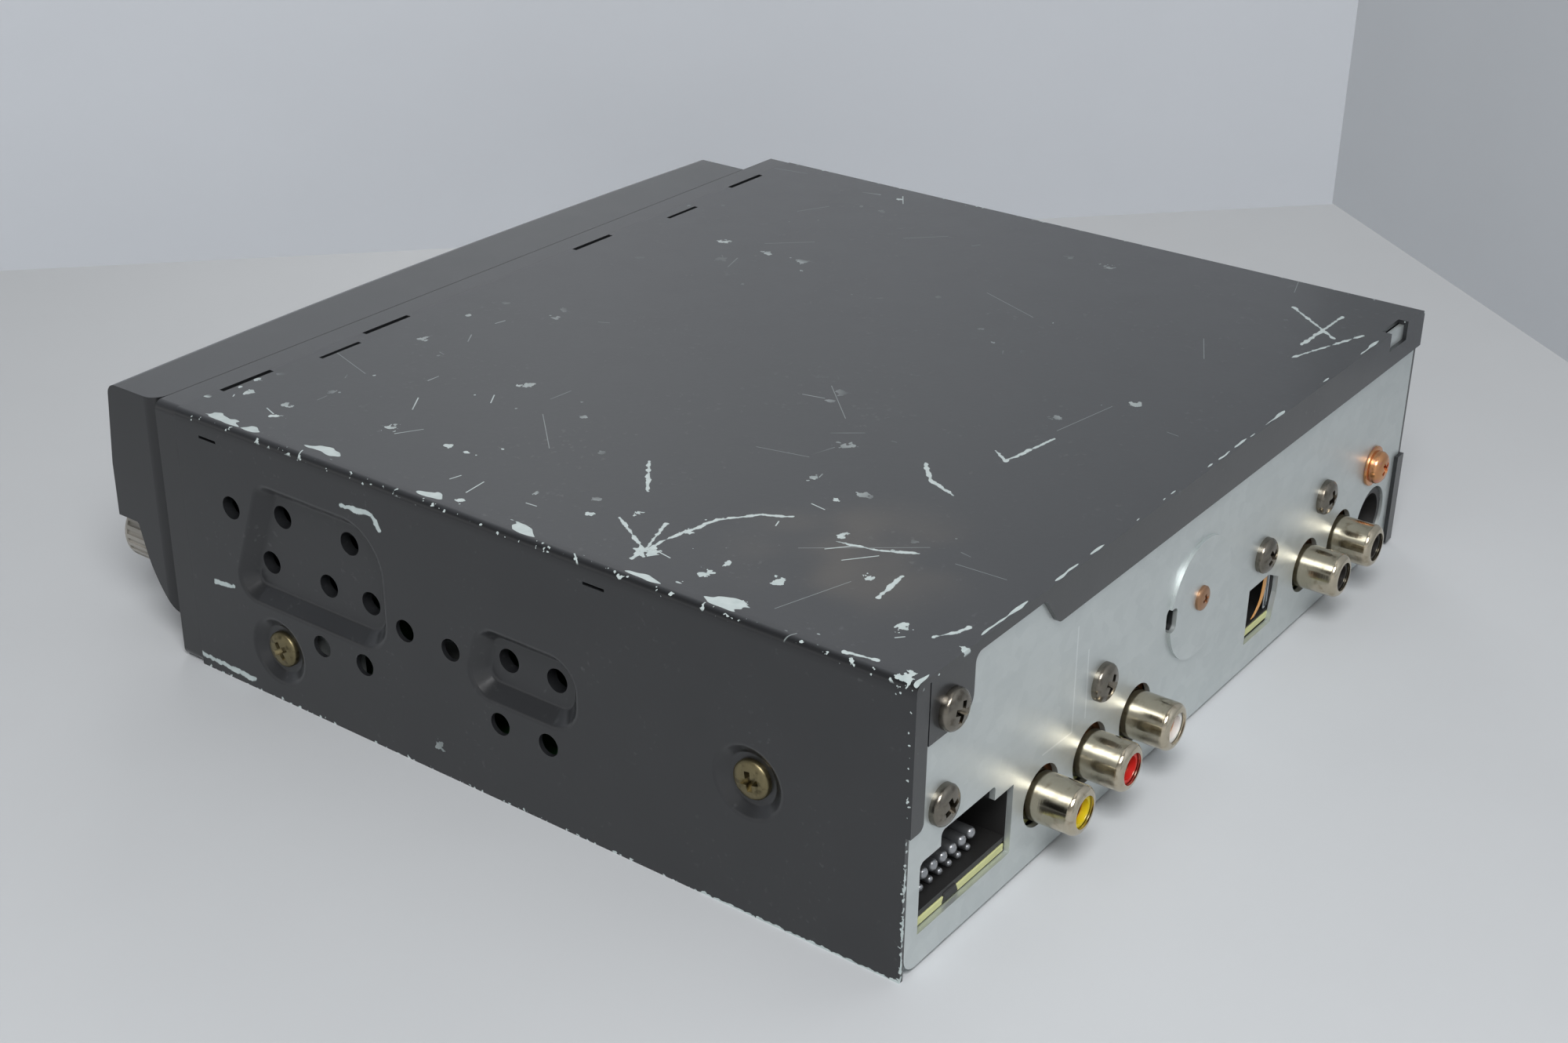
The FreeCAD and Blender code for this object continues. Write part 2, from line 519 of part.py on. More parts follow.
def press_sides(body):
    sides = (("Near", "", True), ("Far", "0 - ", False))
    for side, sign, inward in sides:
        for name, deep, slope in PRESSINGS:
            bump = sketch(body, f"{name}{side}Bump", "YZ_Plane", f"{sign}{INSIDE}")
            press_outline(bump, name, "cover_thick * 0.5")
            pad(body, bump, deep, flip=inward, slope=f"0 - {slope}")
            hollow = sketch(body, f"{name}{side}Hollow", "YZ_Plane", f"{sign}{HALF}")
            press_outline(hollow, name, "0")
            last = pocket(body, hollow, deep, flip=not inward, slope=f"0 - {slope}")
    round_pressings(body, last)
    for side, sign, inward in sides:
        collars = sketch(body, f"Collars{side}", "YZ_Plane", f"{sign}({INSIDE} - recess_deep)")
        threads = sketch(body, f"Threads{side}", "YZ_Plane", f"{sign}{HALF}")
        for y, z in threaded_places():
            draw_circle(collars, y, z, "collar_radius")
            draw_circle(threads, y, z, "thread_radius")
        pad(body, collars, "collar_long", flip=inward)
        lone = sketch(body, f"LoneCollar{side}", "YZ_Plane", f"{sign}{INSIDE}")
        draw_circle(lone, "lone_hole_y", "lone_hole_z", "collar_radius")
        pad(body, lone, "collar_long", flip=inward)
        draw_circle(threads, "lone_hole_y", "lone_hole_z", "thread_radius")
        pocket(body, threads, "recess_deep + cover_thick + collar_long + 1", flip=not inward)
        screws = sketch(body, f"SideScrewHoles{side}", "YZ_Plane", f"{sign}{HALF}")
        for y, z in (("front_screw_y", "front_screw_z"), ("rear_screw_y", "rear_screw_z")):
            draw_circle(screws, y, z, "shank_radius + screw_gap")
        pocket(body, screws, "dimple_deep + cover_thick * 2", flip=not inward)
        vents = sketch(body, f"Vents{side}", "YZ_Plane", f"{sign}{HALF}")
        for step, z in enumerate(("vent_low", "vent_low", "vent_high", "vent_high", "vent_low",
                                  "vent_low")):
            draw_circle(vents, f"vent_first + vent_pitch * {step}", z, "vent_radius")
        for y in ("lance_front", "lance_rear"):
            draw_box(vents, (f"{y} - lance_long / 2", f"{y} + lance_long / 2"),
                     ("lance_z", "lance_z + lance_wide"))
        pocket(body, vents, "cover_thick * 1.5", flip=not inward)


def round_pressings(body, base):
    # the press leaves soft edges around each floor and each mouth
    surface, low, high = number(HALF), number("floor_thick"), number("recess_top") + 1
    for name, depths, radius in (("Floors", ("recess_deep", "dimple_deep"), "floor_round"),
                                 ("Mouths", ("0",), "mouth_round")):
        doc.recompute()
        edges = []
        for index, edge in enumerate(base.Shape.Edges, start=1):
            box = edge.BoundBox
            pressed = box.XLength < 0.001 and low < box.ZMin and box.ZMax < high and box.YMax < number(REAR) - 1
            depth = surface - abs(box.XMin)
            if pressed and any(abs(depth - number(level)) < 0.001 for level in depths):
                edges.append(f"Edge{index}")
        rounded = body.newObject("PartDesign::Fillet", "Pressed" + name)
        rounded.Base = (base, edges)
        tie(rounded, "Radius", radius)
        base = rounded
    doc.recompute()


# Fasteners: built upright with the seat of the head at the origin, then turned into place.
DIRECTIONS = {
    "+x": FreeCAD.Rotation(FreeCAD.Vector(0, 1, 0), 90),
    "-x": FreeCAD.Rotation(FreeCAD.Vector(0, 1, 0), -90),
    "+y": FreeCAD.Rotation(FreeCAD.Vector(1, 0, 0), -90),
    "+z": FreeCAD.Rotation(),
}


def screw(name, way, x, y, z, head, high, long, thick="shank_radius"):
    barrel = rod(name + "Head", "z", head, f"{high} * 0.6")
    crown = taper(name + "Crown", "z", head, f"{head} * 0.72", f"{high} * 0.4", z=f"{high} * 0.6")
    shank = rod(name + "Shank", "z", thick, long, z=f"0 - {long}")
    blank = join(name + "Blank", [barrel, crown, shank])
    half, thin = "cross_long / 2", "cross_wide / 2"
    depth = (f"{high} - cross_deep * {high} / head_high", f"{high} + 1")
    crosses = [block(name + "CrossA", (f"0 - {half}", half), (f"0 - {thin}", thin), depth),
               block(name + "CrossB", (f"0 - {thin}", thin), (f"0 - {half}", half), depth)]
    item = carve(name, blank, crosses)
    item.Placement = FreeCAD.Placement(FreeCAD.Vector(), DIRECTIONS[way])
    place(item, x, y, z)
    return item


def make_side_screws():
    screws = []
    for side, way, sign in (("Near", "+x", ""), ("Far", "-x", "0 - ")):
        for row, y, z in (("Front", "front_screw_y", "front_screw_z"),
                          ("Rear", "rear_screw_y", "rear_screw_z")):
            screws.append(screw(f"Side{side}{row}", way, f"{sign}({HALF} - dimple_deep)", y, z,
                                "head_radius",
                                "dimple_deep * 0.94", "side_shank"))
    return keep(group("SideScrews", screws), "side_screws")


def make_rear_screws():
    places = [("Power", "low_screw_x", "low_screw_z", REAR), ("Jack", "jack_screw_x", "jack_screw_z", REAR),
              ("Switch", "mid_screw_x", "mid_screw_z", REAR),
              ("Black", "black_screw_x", "jack_screw_z", REAR),
              ("Tab", "low_screw_x", "tab_screw_z", f"{REAR} + cover_thick")]
    screws = [screw("Rear" + name, "+y", x, y, z, "head_radius", "head_high", "shank_long")
              for name, x, z, y in places]
    return keep(group("RearScrews", screws), "rear_screws")


def make_boss_screw():
    return keep(screw("BossScrew", "+y", "0", f"{REAR} + disc_raise", "disc_z", "boss_head", "boss_high",
                      "shank_long"), "boss_screw")


def make_ground_screw():
    bolt = screw("GroundScrew", "+y", "bolt_x", f"{REAR} + washer_thick", "bolt_z", "bolt_radius",
                 "bolt_high",
                 "bolt_long", "bolt_shank")
    washer = rod("GroundWasher", "y", "washer_radius", "washer_thick", "bolt_x", REAR, "bolt_z")
    ring = rod("GroundWasherHole", "y", "bolt_shank", "washer_thick", "bolt_x", REAR, "bolt_z")
    keep(join("GroundFastener", [bolt, carve("GroundRing", washer, [ring])]), "ground_bolt")


# Chassis tray with low side walls, screw tabs, shelves for the mechanism and board posts
def make_base_chassis():
    edge = f"({INSIDE} - nest_gap)"
    outer = f"({INSIDE} - dimple_deep - nest_gap)"
    inner = f"({outer} - wall_thick)"
    back = f"{REAR} - panel_thick - nest_gap"
    pieces = [block("TrayFloor", (f"0 - {edge}", edge), (f"{FRONT} + nest_gap", back),
                    ("0", "floor_thick"))]
    holes = []
    for side, low, high, sign in (("Near", inner, outer, ""),
                                  ("Far", f"0 - {outer}", f"0 - {inner}", "0 - ")):
        pieces.append(block(f"Wall{side}", (low, high), ("wall_front", back), ("0", "wall_high")))
        pieces.append(block(f"FrontTab{side}", (low, high),
                            ("front_screw_y - tab_half", "bright_tab_y + tab_half"),
                            ("0", "bright_tab_high")))
        pieces.append(block(f"RearTab{side}", (low, high),
                            ("rear_screw_y - tab_half", "rear_screw_y + tab_half"),
                            ("0", "tab_high")))
        for row, y, z in (("Front", "front_screw_y", "front_screw_z"),
                          ("Rear", "rear_screw_y", "rear_screw_z")):
            holes.append(rod(f"WallHole{side}{row}", "x", "shank_radius + screw_gap", "wall_thick + 2",
                             f"{low} - 1", y, z))
        tower = ("tower_x", "tower_x + tower_thick") if side == "Near" else ("0 - tower_x - tower_thick",
                                                                            "0 - tower_x")
        shelf = ("tower_x - shelf_long", "tower_x") if side == "Near" else ("0 - tower_x",
                                                                          "shelf_long - tower_x")
        for row, y in (("Front", "damper_front"), ("Rear", "damper_rear")):
            span = (f"{y} - tower_half", f"{y} + tower_half")
            pieces.append(block(f"Tower{side}{row}", tower, span, ("0", "shelf_level + shelf_thick")))
            pieces.append(block(f"Shelf{side}{row}", shelf, span,
                                ("shelf_level", "shelf_level + shelf_thick")))
            holes.append(rod(f"ShelfHole{side}{row}", "z", "shank_radius + screw_gap", "shelf_thick + 2",
                             f"{sign}damper_x", y, "shelf_level - 1"))
        for row, y in (("Front", "standoff_front"), ("Rear", "standoff_rear")):
            pieces.append(rod(f"Standoff{side}{row}", "z", "standoff_radius", "board_level",
                              f"{sign}standoff_x", y))
            holes.append(rod(f"StandoffHole{side}{row}", "z", "shank_radius + screw_gap", "board_level",
                             f"{sign}standoff_x", y, "floor_thick"))
    return keep(carve("Tray", join("TrayBlank", pieces), holes), "base_chassis")


# Rear panel with its openings, raised disc and bottom lip
def panel_screws():
    return [("low_screw_x", "low_screw_z"), ("jack_screw_x", "jack_screw_z"),
            ("mid_screw_x", "mid_screw_z"),
            ("black_screw_x", "jack_screw_z"), ("low_screw_x", "tab_screw_z"), ("0", "disc_z")]


def jack_places():
    return [("Yellow", "yellow_x"), ("Red", "yellow_x - jack_pitch"),
            ("White", "yellow_x - jack_pitch * 2"),
            ("BlackOne", "black_x"), ("BlackTwo", "black_x - jack_pitch")]


def make_rear_panel():
    body = new_body("Panel")
    edge = f"({INSIDE} - nest_gap)"
    outline = sketch(body, "PanelOutline", "XZ_Plane", f"0 - {REAR}")
    draw(outline, [(f"0 - {edge}", "panel_low", "1.6"), (edge, "panel_low", "3"),
                   (edge, "case_height - cover_thick - nest_gap", "1"),
                   (f"0 - {edge}", "case_height - cover_thick - nest_gap", "1")])
    pad(body, outline, "panel_thick")
    lip = sketch(body, "PanelLip", "XZ_Plane", f"panel_thick - {REAR}")
    draw_box(lip, ("0 - lip_half", "lip_half"), ("floor_thick + nest_gap", "floor_thick * 2 + nest_gap"))
    pad(body, lip, "panel_lip")
    disc = sketch(body, "PanelDisc", "XZ_Plane", f"0 - {REAR}")
    draw_circle(disc, "0", "disc_z", "disc_radius")
    pad(body, disc, "disc_raise", flip=True)
    collars = sketch(body, "PanelCollars", "XZ_Plane", f"panel_thick - {REAR}")
    draw_circle(collars, "low_screw_x", "tab_screw_z", "collar_radius")
    draw_circle(collars, "bolt_x", "bolt_z", "collar_radius + 0.6")
    pad(body, collars, "panel_thick * 1.6")
    cuts = sketch(body, "PanelHoles", "XZ_Plane", f"0 - {REAR} - disc_raise")
    for x, z in panel_screws():
        draw_circle(cuts, x, z, "shank_radius + screw_gap")
    draw_circle(cuts, "bolt_x", "bolt_z", "bolt_shank + screw_gap")
    draw_circle(cuts, "round_x", "round_z", "round_hole")
    for name, x in jack_places():
        draw_circle(cuts, x, "jack_z", "jack_hole")
    draw_box(cuts, ("key_slot_x - key_slot_wide / 2", "key_slot_x + key_slot_wide / 2"),
             ("disc_z - key_slot_high / 2", "disc_z + key_slot_high / 2"), "key_slot_wide * 0.4")
    left, right = "(window_x - window_wide / 2)", "(window_x + window_wide / 2)"
    low, high = "(window_z - window_high / 2)", "(window_z + window_high / 2)"
    draw(cuts, [(f"{left} + window_wide * 0.12", low), (right, low), (right, high),
                (f"{left} + window_wide * 0.36", high), (left, f"{high} - window_high * 0.2"),
                (left, f"{low} + window_high * 0.5")])
    draw(cuts, [("socket_inner", "socket_low"), ("socket_outer", "socket_low"),
                ("socket_outer", "socket_step", "1"),
                ("socket_step_x", "socket_step"), ("socket_step_x", "socket_top", "1"),
                ("socket_notch_x", "socket_top", "0.8"), ("socket_notch_x", "socket_step"),
                ("socket_inner", "socket_step")])
    pocket(body, cuts, "disc_raise + panel_thick * 3", flip=True)
    return keep(body, "rear_panel")


# Round jacks: plastic blocks inside, nickel shells, coloured inserts and centre contacts
def make_jack_blocks():
    back = f"{REAR} - panel_thick - jack_back"
    front = f"{back} - block_deep"
    spans = [("video_jack_block", "yellow_x - jack_pitch * 2", "yellow_x", "jack_screw_x"),
             ("aux_jack_block", "black_x - jack_pitch", "black_x", "black_screw_x")]
    for label, west, east, boss in spans:
        name = label.title().replace("_", "")
        base = block(name + "Base", (f"{west} - block_side", f"{east} + block_side"), (front, back),
                     (BOARD_TOP, "block_top"))
        tower = block(name + "Boss", (f"{boss} - 4.5", f"{boss} + 4.5"), (front, f"{REAR} - panel_thick"),
                      ("block_top - 1", "jack_screw_z + 4"))
        hole = rod(name + "Hole", "y", "shank_radius + screw_gap", "shank_long + 1",
                   boss, f"{REAR} - shank_long - 0.5", "jack_screw_z")
        keep(carve(name, join(name + "Blank", [base, tower]), [hole]), label)


def make_jacks():
    back = f"({REAR} - panel_thick - jack_back)"
    long = "(jack_reach + panel_thick + jack_back)"
    lid, inner = f"({long} - jack_wall)", "(jack_radius - jack_wall)"
    shell = [("jack_lip", long), ("jack_lip", lid), (inner, lid, "jack_round - jack_wall"), (inner, "0"),
             ("jack_foot", "0"), ("jack_radius", "jack_flare"), ("jack_radius", long, "jack_round")]
    insert = [("insert_bore", "0"), ("insert_radius", "0"), ("insert_radius", f"{lid} - 0.1", "jack_round"),
              ("insert_bore", f"{lid} - 0.1")]
    shells, contacts, inserts = [], [], {}
    for name, x in jack_places():
        shells.append(turn(f"Shell{name}", shell))
        inserts[name] = turn(f"Insert{name}", insert)
        place(shells[-1], x, back, "jack_z")
        place(inserts[name], x, back, "jack_z")
        sleeve = rod(f"Contact{name}Out", "y", "contact_radius", f"{long} - 1.6", x, back, "jack_z")
        bore = rod(f"Contact{name}Bore", "y", "contact_bore", long, x, f"{back} + 0.6", "jack_z")
        contacts.append(carve(f"Contact{name}", sleeve, [bore]))
    keep(group("JackShells", shells), "jack_shells")
    keep(group("JackContacts", contacts), "jack_contacts")
    keep(inserts["Yellow"], "insert_yellow")
    keep(inserts["Red"], "insert_red")
    keep(inserts["White"], "insert_white")
    keep(group("InsertBlack", [inserts["BlackOne"], inserts["BlackTwo"]]), "insert_black")


def make_power_socket():
    back = f"({REAR} - panel_thick - nest_gap)"
    front = f"({back} - socket_deep)"
    inside = "socket_outer - socket_inner"
    shell = block("SocketShell", ("socket_inner - socket_wall", "socket_outer + socket_wall * 0.4"),
                  (front, back),
                  (BOARD_TOP, "socket_roof"))
    boss = block("SocketBoss", ("low_screw_x - 4.5", "low_screw_x + 4.5"), (front, f"{REAR} - panel_thick"),
                 ("socket_roof - 1", "low_screw_z + 4"))
    lower = block("SocketLower", ("socket_inner", "socket_outer"),
                  (f"{front} + socket_back", f"{back} + 1"),
                  (f"{BOARD_TOP} + socket_floor", "socket_step"))
    upper = block("SocketUpper", ("socket_notch_x", "socket_step_x"),
                  (f"{front} + socket_back", f"{back} + 1"),
                  ("socket_step - 1", "socket_top"))
    hole = rod("SocketHole", "y", "shank_radius + screw_gap", "shank_long + 1", "low_screw_x",
               f"{REAR} - shank_long - 0.5", "low_screw_z")
    keep(carve("PowerSocket", join("SocketBlank", [shell, boss]), [lower, upper, hole]), "power_socket")
    pins = []
    for index in range(SIZES["pin_count"]):
        x = f"pin_first + pin_pitch * {index}"
        pins.append(rod(f"UpperPin{index + 1}", "y", "upper_pin_radius", "pin_reach", x,
                        f"{front} + socket_back",
                        "upper_pins"))
        pins.append(rod(f"LowerPin{index + 1}", "y", "lower_pin_radius", "pin_reach - 1",
                        f"{x} + pin_pitch / 2",
                        f"{front} + socket_back", "lower_pins"))
    keep(group("PowerPins", pins), "power_pins")


def make_round_socket():
    back = f"({REAR} - panel_thick / 2)"
    front = f"({back} - round_deep - round_floor)"
    barrel = rod("RoundBarrel", "y", "round_radius", "round_deep + round_floor", "round_x", front,
                 "round_z")
    foot = block("RoundFoot", ("round_x - round_radius * 0.6", "round_x + round_radius * 0.6"),
                 (front, f"{REAR} - panel_thick - 2"), ("floor_thick", "round_z"))
    bore = rod("RoundBore", "y", "round_bore", "round_deep + 1", "round_x", f"{front} + round_floor",
               "round_z")
    key = block("RoundKey", ("round_x - round_bore * 0.25", "round_x + round_bore * 0.25"),
                (f"{front} + round_floor - 0.5", f"{back} - 4"),
                ("round_z - round_bore * 0.2", "round_z + round_bore * 0.2"))
    keep(join("RoundSocket", [carve("RoundShell", join("RoundBlank", [barrel, foot]), [bore]), key]),
         "round_socket")


def make_switch_block():
    back = f"({REAR} - panel_thick - nest_gap)"
    base = block("SwitchBase", ("window_x - window_wide * 0.6", "window_x + window_wide * 0.6"),
                 (f"{back} - block_deep * 0.7", back), (BOARD_TOP, "block_top"))
    boss = block("SwitchBoss", ("mid_screw_x - 4", "mid_screw_x + 4"),
                 (f"{back} - block_deep * 0.7", f"{REAR} - panel_thick"),
                 ("block_top - 1", "mid_screw_z + 4"))
    hole = rod("SwitchHole", "y", "shank_radius + screw_gap", "shank_long + 1", "mid_screw_x",
               f"{REAR} - shank_long - 0.5", "mid_screw_z")
    keep(carve("SwitchBlock", join("SwitchBlank", [base, boss]), [hole]), "switch_block")


# Main board with its tall parts
def make_board():
    back = f"{REAR} - panel_thick - jack_back - nest_gap"
    level = ("board_level", BOARD_TOP)
    plate = block("BoardPlate", ("0 - board_half", "board_half"), ("board_front", back), level)
    notch = block("BoardNotch", ("0 - board_half - 1", "round_x + round_radius + 0.6"),
                  (f"{REAR} - panel_thick / 2 - round_deep - round_floor - 0.6", f"{back} + 1"), level)
    holes = [notch]
    screws = []
    for side, sign in (("Near", ""), ("Far", "0 - ")):
        for row, y in (("Front", "standoff_front"), ("Rear", "standoff_rear")):
            holes.append(rod(f"BoardHole{side}{row}", "z", "shank_radius + screw_gap", "board_thick + 2",
                             f"{sign}standoff_x", y, "board_level - 1"))
            screws.append(screw(f"BoardScrew{side}{row}", "+z", f"{sign}standoff_x", y, BOARD_TOP,
                                "board_screw_head", "board_screw_high", "shank_long"))
    keep(carve("Board", plate, holes), "main_board")
    keep(group("BoardScrews", screws), "board_screws")
    cans = [rod(f"Can{index + 1}", "z", "can_radius", "can_high", f"can_x + can_pitch * {index}", "can_y",
                BOARD_TOP)
            for index in range(3)]
    keep(group("Capacitors", cans), "capacitors")
    half = "chip_wide / 2"
    keep(block("Chip", (f"0 - {half}", half), (f"chip_y - {half}", f"chip_y + {half}"),
               (BOARD_TOP, f"{BOARD_TOP} + chip_high")), "decoder_chip")


# Disc mechanism: frame hung on four rubber dampers
MECH_FLOOR = "(mech_level + mech_thick)"


def train_places():
    # centres of the loading gears, one after another along a line that tilts down towards the rear
    teeth = ["roller_teeth", "idler_teeth", "small_teeth"]
    far = ["0", f"({teeth[0]} + {teeth[1]}) * gear_module / 2",
           f"({teeth[0]} + 2 * {teeth[1]} + {teeth[2]}) * gear_module / 2",
           f"({teeth[0]} + 2 * {teeth[1]} + {teeth[2]} + big_teeth + motor_teeth) * gear_module / 2"]
    return [(f"(roller_y + {step} * cos(train_tilt))",
             f"(roller_z - {step} * sin(train_tilt))") for step in far]


def make_mechanism_frame():
    inner = "mech_half - mech_thick"
    pieces = [block("MechFloor", ("0 - mech_half", "mech_half"), ("mech_front", "mech_back"),
                    ("mech_level", MECH_FLOOR))]
    holes = []
    for side, low, high, sign in (("Near", inner, "mech_half", ""),
                                  ("Far", "0 - mech_half", "mech_thick - mech_half",
                                                                    "0 - ")):
        pieces.append(block(f"MechWall{side}", (low, high), ("mech_front", "mech_back"),
                            ("mech_level", "mech_top")))
        reach = ("mech_half - 1", "ear_reach") if side == "Near" else ("0 - ear_reach", "1 - mech_half")
        for row, y in (("Front", "damper_front"), ("Rear", "damper_rear")):
            pieces.append(block(f"Ear{side}{row}", reach, (f"{y} - ear_half", f"{y} + ear_half"),
                                ("mech_level", MECH_FLOOR)))
            holes.append(rod(f"EarHole{side}{row}", "z", "damper_neck + damper_gap", "mech_thick + 2",
                             f"{sign}damper_x", y, "mech_level - 1"))
        span = "mech_thick + 2"
        holes.append(rod(f"RollerHole{side}", "x", "shaft_radius + run_gap", span, f"{low} - 1", "roller_y",
                         "roller_z"))
        holes.append(rod(f"PivotHole{side}", "x", "pivot_radius + run_gap", span, f"{low} - 1",
                         "arm_pivot_y",
                         "arm_level + arm_thick / 2"))
    for index, reach in ((1, "(gear_off + gear_thick + gear_step / 2)"),
                         (2, "(gear_off + gear_thick * 2 + gear_step * 2)")):
        y, z = train_places()[index]
        pieces.append(rod(f"TrainAxle{index}", "x", "axle_radius", f"{reach} + 0.5",
                          f"0 - mech_half - {reach}", y, z))
    y, z = train_places()[3]
    holes.append(rod("MotorHole", "x", "loader_radius * 0.5", "mech_thick + 2", "0 - mech_half - 1", y, z))
    rods = [("Front", "rod_front"), ("Rear", "rod_rear")]
    for row, y in rods:
        pieces.append(block(f"RodPost{row}", ("rod_start", "rod_start + post_wide"),
                            (f"{y} - post_wide / 2", f"{y} + post_wide / 2"),
                            ("mech_level", "rod_level + post_wide / 2")))
        holes.append(rod(f"RodHole{row}", "x", "rod_radius + run_gap", "mech_half - rod_start",
                         "rod_start + 1", y, "rod_level"))
    holes.append(rod("ScrewHole", "x", "screw_journal + run_gap", "mech_thick + 2", "mech_half - 2",
                     "screw_y",
                     "rod_level"))
    keep(carve("MechFrame", join("MechBlank", pieces), holes), "mechanism_frame")


def make_dampers():
    rings, screws = [], []
    low = "(shelf_level + shelf_thick)"
    for side, sign in (("Near", ""), ("Far", "0 - ")):
        for row, y in (("Front", "damper_front"), ("Rear", "damper_rear")):
            name = f"Damper{side}{row}"
            x = f"{sign}damper_x"
            foot = rod(name + "Foot", "z", "damper_radius", f"mech_level - damper_lift - {low}", x, y, low)
            neck = rod(name + "Neck", "z", "damper_neck", "mech_thick + damper_lift * 3", x, y,
                       "mech_level - damper_lift * 1.5")
            cap = rod(name + "Cap", "z", "damper_radius", "damper_cap", x, y, f"{MECH_FLOOR} + damper_lift")
            bore = rod(name + "Bore", "z", "damper_bore", "mech_thick + 12", x, y, f"{low} - 2")
            rings.append(carve(name, join(name + "Blank", [foot, neck, cap]), [bore]))
            screws.append(screw(f"DamperScrew{side}{row}", "+z", x, y,
                                f"{MECH_FLOOR} + damper_lift + damper_cap",
                                "head_radius", "board_screw_high", "damper_screw_long"))
    keep(group("Dampers", rings), "dampers")
    keep(group("DamperScrews", screws), "damper_screws")


# Loading drive: a rubber roller with narrow waist, turned by a train of gears outside the far wall
def gear(name, teeth, thick, x, y, z, first_angle, bore):
    count = int(round(number(teeth)))
    pitch = number("gear_module") * count / 2
    tip, root = pitch + number("tooth_rise"), pitch - number("tooth_drop")
    points = []
    for index in range(count):
        angle = math.radians(first_angle + 360 * index / count)
        for radius, half in ((root, -number("root_half")), (tip, -number("tip_half")),
                             (tip, number("tip_half")),
                             (root, number("root_half"))):
            turn_by = angle + math.asin(half / radius)
            points.append(FreeCAD.Vector(0, radius * math.cos(turn_by), radius * math.sin(turn_by)))
    face = Part.Face(Part.makePolygon(points + points[:1]))
    blank = doc.addObject("Part::Feature", name + "Teeth")
    blank.Shape = face.extrude(FreeCAD.Vector(number(thick), 0, 0))
    place(blank, x, y, z)
    hole = rod(name + "Hole", "x", bore, f"{thick} + 2", f"{x} - 1", y, z)
    return carve(name, blank, [hole])


def make_loading_drive():
    tilt = 0 - SIZES["train_tilt"]
    places = train_places()
    half = "roller_half"
    cones = [taper("RollerNear", "x", "roller_waist", "roller_radius", half, "0", "roller_y", "roller_z"),
             taper("RollerFar", "x", "roller_radius", "roller_waist", half, "0 - roller_half", "roller_y",
                   "roller_z")]
    bore = rod("RollerBore", "x", "shaft_radius", "roller_half * 2 + 2", "0 - roller_half - 1", "roller_y",
               "roller_z")
    keep(carve("Roller", join("RollerBlank", cones), [bore]), "loading_roller")
    west = "(0 - mech_half - gear_off - gear_thick)"
    keep(rod("RollerShaft", "x", "shaft_radius", f"mech_half + 1.5 - {west} + 0.4", f"{west} - 0.4",
             "roller_y",
             "roller_z"), "roller_shaft")
    outer = f"({west} - gear_step - gear_thick)"
    keep(gear("RollerGear", "roller_teeth", "gear_thick", west, *places[0], tilt, "shaft_radius"),
         "roller_gear")
    keep(gear("IdlerGear", "idler_teeth", "gear_thick", west, *places[1],
              tilt + 180 + 180 / SIZES["idler_teeth"], "axle_radius + run_gap"), "idler_gear")
    small = gear("SmallGear", "small_teeth", "gear_thick", west, *places[2], tilt + 180,
                 "axle_radius + run_gap")
    big = gear("BigGear", "big_teeth", "gear_thick", outer, *places[2], tilt, "axle_radius + run_gap")
    boss = rod("GearBoss", "x", "axle_radius + 1", "gear_step + 0.4", f"{outer} + gear_thick - 0.2",
               *places[2])
    hole = rod("GearBossHole", "x", "axle_radius + run_gap", "gear_step + 2", f"{outer} + gear_thick - 1",
               *places[2])
    keep(join("ReductionGear", [small, big, carve("GearSleeve", boss, [hole])]), "reduction_gear")
    keep(gear("PinionGear", "motor_teeth", "gear_thick + 0.2", f"{outer} - 0.1", *places[3],
              tilt + 180 + 180 / SIZES["motor_teeth"], "axle_radius"), "motor_pinion")
    y, z = places[3]
    can = rod("LoaderCan", "x", "loader_radius", "loader_long", "mech_thick - mech_half", y, z)
    nose = rod("LoaderNose", "x", "loader_radius * 0.5 - 0.2", "mech_thick", "0 - mech_half", y, z)
    shaft = rod("LoaderShaft", "x", "axle_radius - run_gap", f"0 - mech_half - {outer} + 0.5", outer, y, z)
    keep(join("LoadingMotor", [can, nose, shaft]), "loading_motor")
    inner = "mech_half - mech_thick"
    guide = block("GuideBar", (f"0 - ({inner})", inner), ("guide_front", "guide_back"),
                  ("guide_low", "guide_low + guide_thick"))
    keep(guide, "disc_guide")


